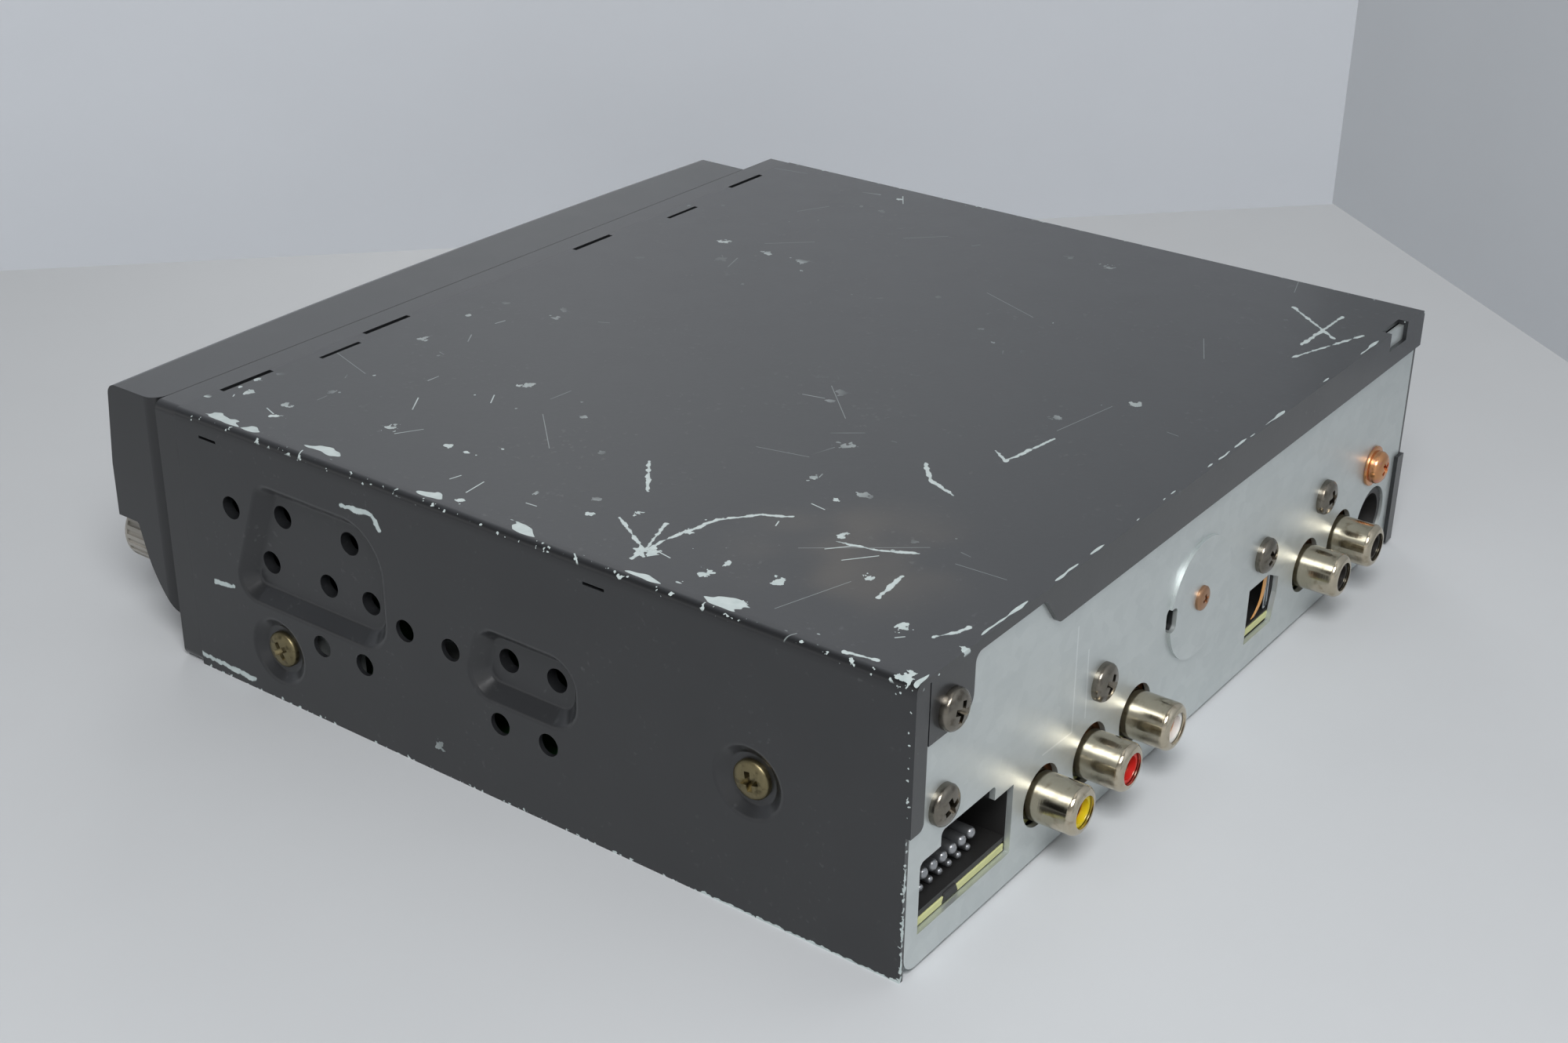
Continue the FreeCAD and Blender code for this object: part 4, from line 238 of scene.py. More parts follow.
# %% [markdown]
# ## The room
# The player stands on a pale floor in the corner of a white box. The floor is one big sheet, which
# fades out into the sky from half a metre away on. The two walls stand where the picture shows the
# seams, and only the camera and the gloss see them, so that the light reaches every side of the player
# alike. From behind they are clear.

# %% Floor and walls
def room_finish(name, *tint):
    """A matt finish whose tone wanders a little round its tint."""
    finish = Finish(name, roughness=0.6)
    darker, lighter = (colour(*(part + change for part in tint)) for change in (-3, 3))
    finish.shade(Base_Color=finish.blend(finish.grain(40, detail=4), darker, lighter))
    return finish


def see_through_behind(finish):
    """Makes a wall clear from its back, so that it hides nothing in views from there."""
    output = finish.tree.nodes["Material Output"]
    behind = finish.tree.nodes.new("ShaderNodeNewGeometry").outputs["Backfacing"]
    clear = finish.tree.nodes.new("ShaderNodeBsdfTransparent")
    mix = finish.tree.nodes.new("ShaderNodeMixShader")
    finish.tree.links.new(behind, mix.inputs[0])
    finish.tree.links.new(finish.shader.outputs[0], mix.inputs[1])
    finish.tree.links.new(clear.outputs[0], mix.inputs[2])
    finish.tree.links.new(mix.outputs[0], output.inputs["Surface"])


floor_finish = room_finish("floor_finish", 200, 203, 206)
floor_x, floor_y = floor_finish.apart()[:2]
away = (floor_x * floor_x + floor_y * floor_y) ** 0.5
floor_finish.shade(Alpha=floor_finish.ramp(away, 1300, 500))
bpy.ops.mesh.primitive_plane_add(size=8, location=(0, 0, 0))
floor = bpy.context.object
floor.name = "floor"
floor.data.materials.append(floor_finish.material)

corner = Vector((-0.2843, -0.0225, 0))
wall_long, wall_high = 1.5, 1.0
for name, inward, middle, tint in (
    ("left_wall", Vector((0.682, 0.731, 0)), Vector((-0.01, -0.278, 0)), (206, 210, 216)),
    ("right_wall", Vector((0.773, -0.634, 0)), Vector((-0.09, 0.214, 0)), (198, 202, 207)),
):
    along = (middle - corner).normalized()
    bpy.ops.mesh.primitive_plane_add(size=1)
    wall = bpy.context.object
    wall.name = name
    centre = corner + along * wall_long / 2 + Vector((0, 0, wall_high / 2))
    wall_axes = Matrix((along, Vector((0, 0, 1)), inward)).transposed().to_4x4()
    wall_size = Matrix.Diagonal((wall_long, wall_high, 1.0, 1.0))
    wall.matrix_world = Matrix.Translation(centre) @ wall_axes @ wall_size
    wall_finish = room_finish(name + "_finish", *tint)
    see_through_behind(wall_finish)
    wall.data.materials.append(wall_finish.material)
    wall.visible_shadow = False
    wall.visible_diffuse = False

# %% [markdown]
# ## The light
# Bare metal and satin paint show what stands round them, so the sky matters as much as the lamps. It is
# pale near the horizon, which is also the background of other views, and dim overhead, as in a room.
# Large soft lamps do the rest: the key lamp, just over the camera, draws the soft shadows of the
# sockets and screws and lets the floor darken away from the camera, and weaker ones light the other
# sides. The front lamp stands where the top mirrors it to the camera, which gives the top its sheen.

# %% Sky
sky = bpy.data.worlds.new("sky")
sky.use_nodes = True
sky_nodes = sky.node_tree.nodes
direction = sky_nodes.new("ShaderNodeTexCoord")
height = sky_nodes.new("ShaderNodeSeparateXYZ")
fade = sky_nodes.new("ShaderNodeMapRange")
fade.interpolation_type = "SMOOTHSTEP"
fade_from, fade_to = 0.15, 0.55
at_horizon, overhead = 0.72, 0.20
for socket, value in zip(fade.inputs[1:5], (fade_from, fade_to, at_horizon, overhead)):
    socket.default_value = value
sky.node_tree.links.new(direction.outputs["Generated"], height.inputs[0])
sky.node_tree.links.new(height.outputs["Z"], fade.inputs[0])
sky.node_tree.links.new(fade.outputs[0], sky_nodes["Background"].inputs["Strength"])
sky_nodes["Background"].inputs["Color"].default_value = (0.97, 0.985, 1.0, 1.0)
bpy.context.scene.world = sky
print("sky from", at_horizon, "at the horizon to", overhead, "overhead")

# %% Lamps
lamps = (
    ("key_lamp", (0.36, 0.28, 0.50), 0.24, 3.0),
    ("top_lamp", (-0.15, 0.10, 1.30), 0.9, 1.6),
    ("front_lamp", (-0.87, -0.87, 0.38), 0.45, 2.2),
    ("far_lamp", (-1.2, 0.6, 0.7), 0.8, 2.0),
)
for name, place, size, power in lamps:
    lamp = bpy.data.lights.new(name, "AREA")
    lamp.size = size
    lamp.energy = power
    holder = bpy.data.objects.new(name, lamp)
    bpy.context.scene.collection.objects.link(holder)
    holder.location = place
    holder.rotation_euler = Vector(place).to_track_quat("Z", "Y").to_euler()
print("lamps:", [light.name for light in bpy.data.lights])

# %% [markdown]
# ## The cover's paint
# The cover is bent from one sheet and sprayed satin charcoal. Years of fitting have knocked flakes of
# paint off along its edges down to the pale zinc, and have dragged scratches over the top. Painting a
# picture of the wear by hand would need an image; here it is worked out at every point instead. Flakes
# are noise that is let through only near the edges, specks and nicks are drawn in the cells of a
# Voronoi pattern, and the few long scratches are lines from point to point. The numbers below are
# millimetres on the cover, which reaches about 89 to either side, 75 to the back and 50 up.

# %% Tools for wear
cover = Finish("charcoal_paint", Specular_IOR_Level=0.42, Coat_Weight=0.4, Coat_Roughness=0.14)
x, y, z = cover.apart()


def distance_to(*differences):
    """How far a place is from a line or a point, from its offsets."""
    total = None
    for difference in differences:
        square = difference * difference
        total = square if total is None else total + square
    return total ** 0.5


def cells(finish, place, spacing):
    """The cells of a flat Voronoi pattern: distance, three chances, and the offset from the middle."""
    near = finish.node(
        "ShaderNodeTexVoronoi", {"voronoi_dimensions": "2D"}, {"Vector": place, "Scale": 1.0 / spacing})
    outputs = near.socket.node.outputs
    chances = finish.parts(Signal(finish, outputs["Color"]), "ShaderNodeSeparateColor")
    offset = finish.vector("SUBTRACT", place, Signal(finish, outputs["Position"]))
    return near, chances, offset


def specks(finish, place, spacing, largest, share):
    """Round specks in a share of the cells, most of them small."""
    near, chances = cells(finish, place, spacing)[:2]
    size = finish.ramp(chances[0], 1 - share, 1.0) ** 2.0 * (largest / spacing)
    return finish.ramp(size + (fine - 0.5) * size * 5.0 - near, 0.0, 0.02)


def nicks(finish, place, spacing, width, longest, share):
    """Short straight nicks in a share of the cells, each turned its own way."""
    chances, offset = cells(finish, place, spacing)[1:]
    full_turn = 6.283
    angle = chances[1] * full_turn
    over, up = finish.parts(offset)[:2]
    cosine = angle.alone("COSINE")
    sine = angle.alone("SINE")
    along = (over * cosine + up * sine).alone("ABSOLUTE")
    across = (over * sine - up * cosine).alone("ABSOLUTE")
    length = finish.ramp(chances[0], 1 - share, 1.0) * longest / 2
    slim = finish.ramp(across, width / 2, width / 4)
    return slim * finish.ramp(length - along, 0.0, 0.1)


def strokes(finish, place, lines, width, ragged_by):
    """Scratches: 1 within the width of the nearest of the drawn lines, in millimetres."""
    nearest = None
    for line in lines:
        for a, b in zip(line, line[1:]):
            start = Vector((*a, 0))
            run = Vector((*b, 0)) - start
            offset = finish.vector("SUBTRACT", place, start)
            along = finish.vector("DOT_PRODUCT", offset, run / run.dot(run), "Value")
            share = finish.node("ShaderNodeClamp", {}, {0: along})
            back = finish.vector("SCALE", -run, share)
            length = finish.vector("LENGTH", finish.vector("ADD", offset, back), out="Value")
            nearest = length if nearest is None else nearest.least(length)
    return finish.ramp(nearest - ragged_by, width, width * 0.6)


# %% Flakes along the edges
fine = cover.grain(1.1)
wobble = cover.grain(1.6)
broad = cover.grain(11)
flakes = cover.grain(4.2, cover.stretched(1.0, 0.55, 1.0), 2.0)
clusters = cover.grain(17, detail=1, seed=3.0)
on_top = cover.ramp(z, 49.0, 49.5)
on_side = cover.ramp(x, 88.0, 88.4)
inward = 88.6 - x
near_edge = cover.ramp(inward, 8.0, 1.5) * cover.ramp(inward, 0.5, 1.2) * on_top
front_part = cover.ramp(y, -30.0, -60.0)
middle_part = cover.ramp(y, -5.0, 12.0) * cover.ramp(y, 50.0, 40.0)
crowded = 0.06 + front_part * 0.10 + middle_part * 0.10 + clusters * 0.10
edge_chips = cover.ramp(near_edge, 0.0, 0.2) * cover.ramp(flakes + near_edge * crowded, 0.715, 0.725)
bend = distance_to(x - 88.3, z - 49.3)
foot = distance_to(x - 89.0, z)
rear_lip = distance_to(y - 75.2, z - 49.8)
rear_corner = distance_to(x - 88.8, y - 75.0)
far_bend = distance_to(x + 88.4, z - 49.4)
top_corner = distance_to(x - 87.3, y - 73.2, z - 49.0)
dashes = cover.grain(2.4, cover.stretched(0.3, 1.0, 1.0), 2.0, 4.0)
edge_lines = (
    (bend, 0.9, 0.15, fine),
    (far_bend, 1.3, 0.2, fine),
    (rear_corner, 0.7, 0.24 - cover.ramp(z, 12.0, 26.0) * 0.12, fine),
    (foot, 0.7, 0.12 + cover.ramp(y, 34.0, 44.0) * 0.26, fine),
    (top_corner, 3.0, 0.32, fine),
    (rear_lip, 0.7, 0.17, dashes),
)
for line, reach, amount, lumps in edge_lines:
    closeness = cover.ramp(line, reach, 0.0)
    chips = cover.ramp(lumps + closeness * amount, 0.69, 0.70) * cover.ramp(closeness, 0.0, 0.1)
    edge_chips = edge_chips.most(chips)
print("edges with flakes:", 1 + len(edge_lines))

# %% Scratches on the top and side
top_scratches = [
    [(83.9, 21.7), (76.0, 21.9), (66.0, 24.0), (60.5, 28.0), (58.1, 32.4)],
    [(74.5, 11.6), (80.7, 21.7)],
    [(71.8, 18.6), (80.7, 21.7)],
    [(79.2, 22.4), (82.2, 21.2), (80.0, 20.6), (82.2, 22.6), (81.2, 20.2), (80.5, 23.4)],
    [(55.9, 2.1), (64.6, 9.0)],
    [(60.7, 42.4), (59.3, 49.3), (56.4, 54.7)],
    [(28.8, 37.9), (33.8, 42.0), (36.4, 48.1)],
    [(64.0, 56.7), (71.5, 57.6)],
    [(87.3, 62.7), (86.4, 67.5)],
    [(76.2, 70.2), (73.4, 72.0), (71.0, 72.6)],
    [(17.8, 44.5), (20.3, 47.8), (7.8, 49.8)],
    [(-74.0, 55.3), (-63.6, 68.2)],
    [(-50.2, 65.9), (-68.4, 71.8)],
    [(-56.9, 64.7), (-75.1, 64.8)],
]
side_scratches = [
    [(-35.2, 43.6), (-28.0, 44.2), (-26.5, 41.7)],
    [(-69.0, 18.6), (-64.3, 19.2)],
    [(-75.0, 2.1), (-61.3, 1.7)],
]
top_place = cover.node("ShaderNodeCombineXYZ", {}, {0: x, 1: y})
side_place = cover.node("ShaderNodeCombineXYZ", {}, {0: y, 1: z})
rough_line = (wobble - 0.5) * 1.5
drawn = strokes(cover, top_place, top_scratches, 0.36, rough_line) * on_top
drawn = drawn.most(strokes(cover, side_place, side_scratches, 0.55, rough_line) * on_side)
print("scratches drawn:", len(top_scratches) + len(side_scratches))

# %% The paint itself
worn = cover.ramp(cover.grain(26, detail=1, seed=7.0) + cover.ramp(x, 30.0, 86.0) * 0.3, 0.55, 0.72)
loose = specks(cover, top_place, 4.5, 1.1, 0.24).most(nicks(cover, top_place, 9.0, 0.28, 6.0, 0.3)) * worn
faint = nicks(cover, top_place, 20.0, 0.18, 20.0, 0.4) * 0.35
side_specks = specks(cover, side_place, 8.0, 1.0, 0.25) * on_side * cover.ramp(z + y * 0.35, 8.0, -8.0)
bare = edge_chips.most(drawn).most(loose.most(faint) * on_top).most(side_specks * 0.8)
dust = cover.ramp(fine, 0.6, 0.75) * cover.ramp(broad, 0.45, 0.65) * 0.18
haze = cover.ramp(distance_to(x - 62.0, y - 47.0), 24.0, 4.0) * cover.ramp(clusters, 0.35, 0.6)
# Painted shade: the paint is made darker along the bend between the top and the near side.
bend_shade = cover.ramp(bend, 2.0, 0.8)
paint = cover.blend(broad, colour(29, 30, 32), colour(36, 37, 39))
paint = cover.blend(haze * on_top * 0.5, paint, colour(84, 76, 66))
paint = cover.blend(dust, paint, colour(112, 114, 114))
paint = cover.blend(bend_shade, paint, colour(22, 23, 25))
zinc = cover.blend(wobble, colour(158, 172, 172), colour(200, 210, 209))
cover.shade(
    Base_Color=cover.blend(bare, paint, zinc),
    Roughness=0.27 + broad * 0.12 + bare * 0.20,
    Normal=cover.relief(1 - edge_chips, 0.05, cover.relief(fine, 0.008)),
)
print("the cover's paint has", len(cover.tree.nodes), "nodes")

# %% [markdown]
# ## The other finishes
# Zinc-coated sheet is pale blue grey with a faint spangle and rolling marks, a few scribed lines on the
# back, and a painted shadow on the walls of the back's key slot. Nickel and screw steel are darker and
# warmer. Moulded plastic has a fine even grain. Each family is one function, which takes the darkest and
# the lightest colour of a part, so that its members share their grain and differ in tone. Two tables give
# the rest.

# %% Metals
def sheet_metal(name, low, high, roughness, metallic):
    """Coated sheet: spangle, rolling marks and handling smudges."""
    finish = Finish(name, metallic=metallic)
    crystals = finish.node("ShaderNodeTexVoronoi", {}, {"Vector": finish.place, "Scale": 420.0}, "Color")
    spangle = finish.parts(crystals, "ShaderNodeSeparateColor")[0]
    smudge = finish.grain(16, detail=4)
    rolled = finish.grain(1.2, finish.stretched(0.04, 1.0, 1.0), 2.0)
    share = spangle * 0.25 + smudge * 0.45 + rolled * 0.3
    finish.shade(
        Base_Color=finish.blend(share, colour(*low), colour(*high)),
        Roughness=roughness + smudge * 0.12 + spangle * 0.05,
        Normal=finish.relief(rolled * 0.5 + finish.grain(0.5), 0.006),
    )
    return finish


def turned_metal(name, low, high, roughness, metallic=1.0, tarnish=None, cloudy=0.10):
    """Turned or formed parts: fine rings along their length, and spots of tarnish where a tarnish is given.
    """
    finish = Finish(name, metallic=metallic)
    rings = finish.grain(0.35, finish.stretched(0.06, 1.0, 0.06), 2.0)
    cloud = finish.grain(2.2, detail=4)
    tone = finish.blend(rings * 0.4 + cloud * 0.6, colour(*low), colour(*high))
    if tarnish:
        spots = finish.ramp(finish.grain(1.3, detail=4, seed=5.0), 0.52, 0.7)
        tone = finish.blend(spots * 0.6, tone, colour(*tarnish))
    finish.shade(
        Base_Color=tone,
        Roughness=roughness + cloud * cloudy + rings * 0.04,
        Normal=finish.relief(rings + cloud * 0.5, 0.012),
    )
    return finish


zinc_sheet = sheet_metal("zinc_sheet", (186, 193, 193), (212, 217, 216), 0.34, 0.75)
sheet_x, sheet_y, sheet_z = zinc_sheet.apart()
back_place = zinc_sheet.node("ShaderNodeCombineXYZ", {}, {0: sheet_x, 1: sheet_z})
rule_lines = [
    [(42.3, 38.1), (41.8, 19.1), (50.7, 19.5)],
    [(38.3, 32.3), (37.7, 19.8)],
]
on_back = zinc_sheet.ramp(sheet_y, 74.9, 74.98)
rules = strokes(zinc_sheet, back_place, rule_lines, 0.22, 0.0) * on_back
slot_x, slot_z = 8.9, 25.2
# Painted shadow: the cut walls of the key slot, just in front of the back face, are painted near black.
slot_shadow_area = zinc_sheet.ramp(distance_to((sheet_x - slot_x) * 2.0, sheet_z - slot_z), 3.2, 2.8)
slot_shadow_depth = zinc_sheet.ramp(sheet_y, 74.98, 74.7) * zinc_sheet.ramp(sheet_y, 73.0, 73.5)
tone = Signal(zinc_sheet, zinc_sheet.shader.inputs["Base Color"].links[0].from_socket)
tone = zinc_sheet.blend(rules * 0.55, tone, colour(232, 236, 236))
zinc_sheet.shade(Base_Color=zinc_sheet.blend(slot_shadow_area * slot_shadow_depth * 0.9, tone, colour(16, 16, 16)))

finishes = {"cover_paint": cover, "galvanised": zinc_sheet}
for slot, name, low, high, roughness, extra in (
    ("steel", "bright_steel", (138, 140, 143), (172, 174, 177), 0.26, {"metallic": 0.85}),
    ("screw_steel", "dull_screw", (92, 88, 80), (146, 140, 130), 0.17, {"tarnish": (70, 62, 52)}),
    ("side_steel", "grimy_screw", (92, 84, 62), (150, 140, 108), 0.34, {"tarnish": (52, 46, 34)}),
    ("nickel", "dull_nickel", (172, 162, 142), (206, 197, 178), 0.12,
     {"tarnish": (146, 130, 106), "cloudy": 0.07}),
    ("gold", "yellow_chromate", (196, 132, 96), (224, 172, 120), 0.18, {"tarnish": (204, 130, 140)}),
    ("copper", "copper_plate", (150, 112, 84), (190, 152, 122), 0.30, {}),
    ("motor_steel", "plated_can", (168, 172, 176), (196, 199, 202), 0.20, {}),
):
    finishes[slot] = turned_metal(name, low, high, roughness, **extra)
print("metal finishes:", sorted(finishes))

# %% Plastics, rubber and board
def moulded(name, low, high, roughness, grain=0.18, depth=0.012, **plain):
    """Moulded plastic: an even eroded grain and a faint cloudiness."""
    finish = Finish(name, **plain)
    spark = finish.grain(grain, detail=2)
    cloud = finish.grain(12, detail=3)
    finish.shade(
        Base_Color=finish.blend(cloud * 0.7 + spark * 0.3, colour(*low), colour(*high)),
        Roughness=roughness + cloud * 0.10 + spark * 0.06,
        Normal=finish.relief(spark, depth),
    )
    return finish


for slot, name, low, high, roughness, extra in (
    ("front_plastic", "front_moulding", (21, 22, 24), (28, 29, 31), 0.34,
     {"Specular_IOR_Level": 0.4, "Coat_Weight": 0.6, "Coat_Roughness": 0.2}),
    ("key_plastic", "key_moulding", (40, 41, 43), (50, 51, 54), 0.34, {"grain": 0.14}),
    ("knob_plastic", "knob_moulding", (150, 146, 138), (172, 168, 160), 0.34, {}),
    ("black_plastic", "black_moulding", (20, 20, 21), (48, 47, 46), 0.38, {}),
    ("brown_plastic", "brown_moulding", (122, 78, 44), (150, 100, 60), 0.40, {}),
    ("yellow_plastic", "yellow_moulding", (214, 188, 20), (232, 208, 40), 0.30, {"depth": 0.005}),
    ("red_plastic", "red_moulding", (196, 34, 30), (216, 52, 44), 0.30, {"depth": 0.005}),
    ("white_plastic", "white_moulding", (232, 231, 226), (244, 243, 240), 0.30, {"depth": 0.005}),
    ("gear_plastic", "gear_moulding", (206, 203, 192), (224, 222, 212), 0.38, {"depth": 0.005}),
    ("can_black", "can_sleeve", (28, 28, 44), (40, 40, 58), 0.28, {"grain": 0.3, "depth": 0.004}),
    ("rubber", "rubber_moulding", (26, 26, 27), (38, 38, 39), 0.62, {"grain": 0.25}),
    ("window", "smoked_window", (20, 21, 24), (24, 25, 28), 0.06, {"depth": 0.0006, "Alpha": 0.3}),
    ("display", "display_glass", (18, 24, 24), (26, 34, 33), 0.12, {"depth": 0.001}),
    ("lens", "lens_glass", (60, 80, 120), (90, 110, 150), 0.05, {"depth": 0.0006, "Alpha": 0.7}),
    ("board", "board_lacquer", (48, 96, 52), (66, 120, 66), 0.30, {"grain": 0.9, "depth": 0.02}),
):
    finishes[slot] = moulded(name, low, high, roughness, **extra)
board = finishes["board"]
cut_edge = board.ramp(board.apart()[1], 72.84, 72.88)
board.shade(Base_Color=board.blend(cut_edge, colour(56, 106, 58), colour(196, 200, 140)))
print("finishes:", len(finishes))

# %% [markdown]
# ## Dressing the solids
# A solid whose shape is right stays and takes its finish. The table below gives each one its finish.

# %% Finishes for the solids
slot_of = {
    "cover_paint": ["top_cover"],
    "galvanised": ["base_chassis", "rear_panel", "mechanism_frame", "clamp_arm"],
    "screw_steel": ["side_screws", "rear_screws", "board_screws", "damper_screws"],
    "copper": ["boss_screw"],
    "gold": ["ground_bolt", "jack_contacts", "motor_pinion"],
    "nickel": ["jack_shells"],
    "yellow_plastic": ["insert_yellow"],
    "red_plastic": ["insert_red"],
    "white_plastic": ["insert_white"],
    "black_plastic": [
        "insert_black", "power_socket", "round_socket", "switch_block", "decoder_chip", "disc_guide",
        "turntable", "clamp_disc", "pickup_sled"],
    "brown_plastic": ["video_jack_block", "aux_jack_block"],
    "steel": ["power_pins", "guide_rods", "roller_shaft", "lead_screw"],
    "board": ["main_board"],
    "can_black": ["capacitors"],
    "rubber": ["dampers", "loading_roller"],
    "motor_steel": ["loading_motor", "spindle_motor", "sled_motor"],
    "front_plastic": ["front_frame", "faceplate_shell", "faceplate_back"],
    "knob_plastic": ["volume_knob"],
    "window": ["display_window"],
    "display": ["display_panel"],
    "key_plastic": [
        "key_1", "key_2", "key_3", "key_4", "key_5", "key_6",
        "source_key", "seek_rocker", "eject_button", "release_button"],
    "gear_plastic": ["roller_gear", "idler_gear", "reduction_gear"],
    "lens": ["pickup_lens"],
}
for slot, names in slot_of.items():
    for name in names:
        for place in frame["nodes"][name].material_slots:
            place.link = "OBJECT"
            place.material = finishes[slot].material
dressed = {name for names in slot_of.values() for name in names}
print("solids without a finish:", sorted(set(frame["nodes"]) - dressed))

# %% [markdown]
# ## Making pieces by hand
# A piece starts as a primitive, is shaped in edit mode and is finished by modifiers that are applied.
# The helpers below do what the mouse would: start a primitive with nothing else selected, pick faces by
# where they are and where they look, run an edit, and finish. Blocks and drums are so common here that
# each has a helper of its own, in millimetres. Every piece ends at the origin with its place in its
# mesh, so that patterns stay put and the piece can ride on its solid's body.

# %% Hands
def start(kind, name, **sizes):
    """Adds a primitive with nothing else selected."""
    bpy.ops.object.select_all(action="DESELECT")
    getattr(bpy.ops.mesh, "primitive_" + kind + "_add")(**sizes)
    piece = bpy.context.object
    piece.name = name
    settle(piece)
    return piece


def settle(piece):
    """Puts the piece's place, turn and size into its mesh."""
    piece.data.transform(piece.matrix_basis)
    piece.matrix_basis = Matrix.Identity(4)


def block(name, place, size):
    """A box round its place."""
    return start("cube", name, size=1, location=Vector(place) * mm, scale=Vector(size) * mm)


def drum(name, sides, radius, high, middle=0.0):
    """An upright cylinder, whose middle is that far up."""
    return start(
        "cylinder", name, vertices=sides, radius=radius * mm, depth=high * mm, location=(0, 0, middle * mm))


def take(piece):
    """Makes the piece the only one in hand."""
    bpy.ops.object.select_all(action="DESELECT")
    piece.select_set(True)
    bpy.context.view_layer.objects.active = piece


def pick(piece, test):
    """Opens the piece and picks the faces whose middle and normal pass the test."""
    take(piece)
    bpy.ops.object.mode_set(mode="EDIT")
    bpy.context.tool_settings.mesh_select_mode = (False, False, True)
    bpy.ops.mesh.select_all(action="DESELECT")
    mesh = bmesh.from_edit_mesh(piece.data)
    for face in mesh.faces:
        face.select_set(bool(test(face.calc_center_median(), face.normal)))
    bmesh.update_edit_mesh(piece.data)


def done():
    """Closes the piece that pick opened."""
    bpy.ops.object.mode_set(mode="OBJECT")


def modify(piece, kind, **settings):
    """Adds a modifier and applies it at once."""
    take(piece)
    modifier = piece.modifiers.new(kind.lower(), kind)
    for name, value in settings.items():
        setattr(modifier, name, value)
    bpy.ops.object.modifier_apply(modifier=modifier.name)


def smooth(piece, angle=35):
    """Shades the piece round, save where it turns by more than the angle."""
    take(piece)
    bpy.ops.object.shade_smooth_by_angle(angle=math.radians(angle))


def copied(piece, name, place=None):
    """A copy with its own mesh, moved by a matrix in its mesh."""
    twin = piece.copy()
    twin.data = piece.data.copy()
    twin.name = name
    bpy.context.scene.collection.objects.link(twin)
    if place:
        twin.data.transform(place)
    return twin


def merged_copy(name, new_name):
    """A copy of a solid, free of its body, with its doubles merged and its flat faces dissolved."""
    piece = copied(frame["nodes"][name], new_name)
    piece.parent = None
    for word in [key for key in piece.keys() if key.startswith("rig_")]:
        del piece[word]
    pick(piece, lambda middle, normal: True)
    bpy.ops.mesh.remove_doubles(threshold=0.002 * mm)
    bpy.ops.mesh.dissolve_limited(angle_limit=math.radians(1))
    done()
    return piece


def joined(name, parts):
    """One piece of several."""
    bpy.ops.object.select_all(action="DESELECT")
    for part in parts:
        part.select_set(True)
    bpy.context.view_layer.objects.active = parts[0]
    bpy.ops.object.join()
    parts[0].name = name
    return parts[0]


def coat(piece, slot):
    """Gives a piece that finish in place of what it had."""
    piece.data.materials.clear()
    piece.data.materials.append(finishes[slot].material)


def finished(piece, slot, body, *stands_for):
    """Gives a piece its finish and its body, and names the solids that it stands for."""
    coat(piece, slot)
    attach(piece, body)
    if stands_for:
        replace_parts(piece, *stands_for)


def facing(place, direction, turn=0.0):
    """The matrix that takes a piece made upright at the origin to its place, looking that way."""
    turned = Vector(direction).to_track_quat("Z", "Y").to_matrix().to_4x4()
    return Matrix.Translation(Vector(place) * mm) @ turned @ Matrix.Rotation(math.radians(turn), 4, "Z")


print("hands ready")

# %% [markdown]
# ## Screws
# The case is held by cross-head screws with domed heads, driven by a machine and a little turned from
# one another. A head starts as a short cylinder whose top face is inset and raised step by step into a
# dome. The cross is two tapered bars that a Boolean takes out, because it has straight walls and a
# sharp mouth, which no dent in a mesh of rings gives.

# %% One screw head
def screw_head(name, radius, high, cross):
    """A domed head on a plain shank, with a cross of that width."""
    rim = high * 0.45
    dome = ((0.05, 0.16), (0.08, 0.13), (0.13, 0.12), (0.18, 0.08), (0.22, 0.05), (0.2, 0.01))
    head = drum(name, 48, radius, rim, rim / 2)
    pick(head, lambda middle, normal: normal.z > 0.9)
    for inset, rise in dome:
        bpy.ops.mesh.inset(thickness=inset * radius * mm)
        bpy.ops.transform.translate(value=(0, 0, rise * high * mm))
    done()
    bars = []
    for turn in (0, 90):
        bar = block("bar", (0, 0, high * 0.72), (cross, cross * 0.27, high))
        pick(bar, lambda middle, normal: normal.z < -0.9)
        bpy.ops.transform.resize(value=(0.45, 0.7, 1.0))
        done()
        bar.data.transform(Matrix.Rotation(math.radians(turn), 4, "Z"))
        bars.append(bar)
    for bar in bars:
        modify(head, "BOOLEAN", object=bar, operation="DIFFERENCE", solver="EXACT")
        bpy.data.objects.remove(bar)
    shank = drum("shank", 24, 1.4, 3.6, -1.78)
    pick(shank, lambda middle, normal: normal.z < -0.9)
    bpy.ops.mesh.bevel(offset=0.4 * mm, segments=2)
    done()
    smooth(shank)
    smooth(head, 30)
    return joined(name, [head, shank])


case_head = screw_head("case_head", 3.3, 2.0, 4.0)
print("one head has", len(case_head.data.polygons), "faces")

# %% Every screw that shows
to_rear = (0, 1, 0)
for name, place, turn in (
    ("power", (80.0, 75.0, 26.3), 20),
    ("jack", (33.1, 75.0, 24.3), 64),
    ("window", (-26.0, 75.0, 22.5), 38),
    ("black", (-51.2, 75.0, 24.3), 8),
    ("tab", (80.0, 75.8, 42.4), 72),
):
    screw = copied(case_head, "rear_screw_" + name, facing(place, to_rear, turn))
    finished(screw, "screw_steel", "case", "rear_screws")
side_seat = 87.4
flatter = Matrix.Diagonal((1, 1, 0.72, 1))
for name, side, back, up, turn in (
    ("front_near", 1, -54.0, 9.8, 30),
    ("rear_near", 1, 47.4, 23.4, 12),
    ("front_far", -1, -54.0, 9.8, 50),
    ("rear_far", -1, 47.4, 23.4, 80),
):
    place = facing((side * side_seat, back, up), (side, 0, 0), turn)
    screw = copied(case_head, "side_screw_" + name, place @ flatter)
    finished(screw, "side_steel", "case", "side_screws")
bpy.data.objects.remove(case_head)

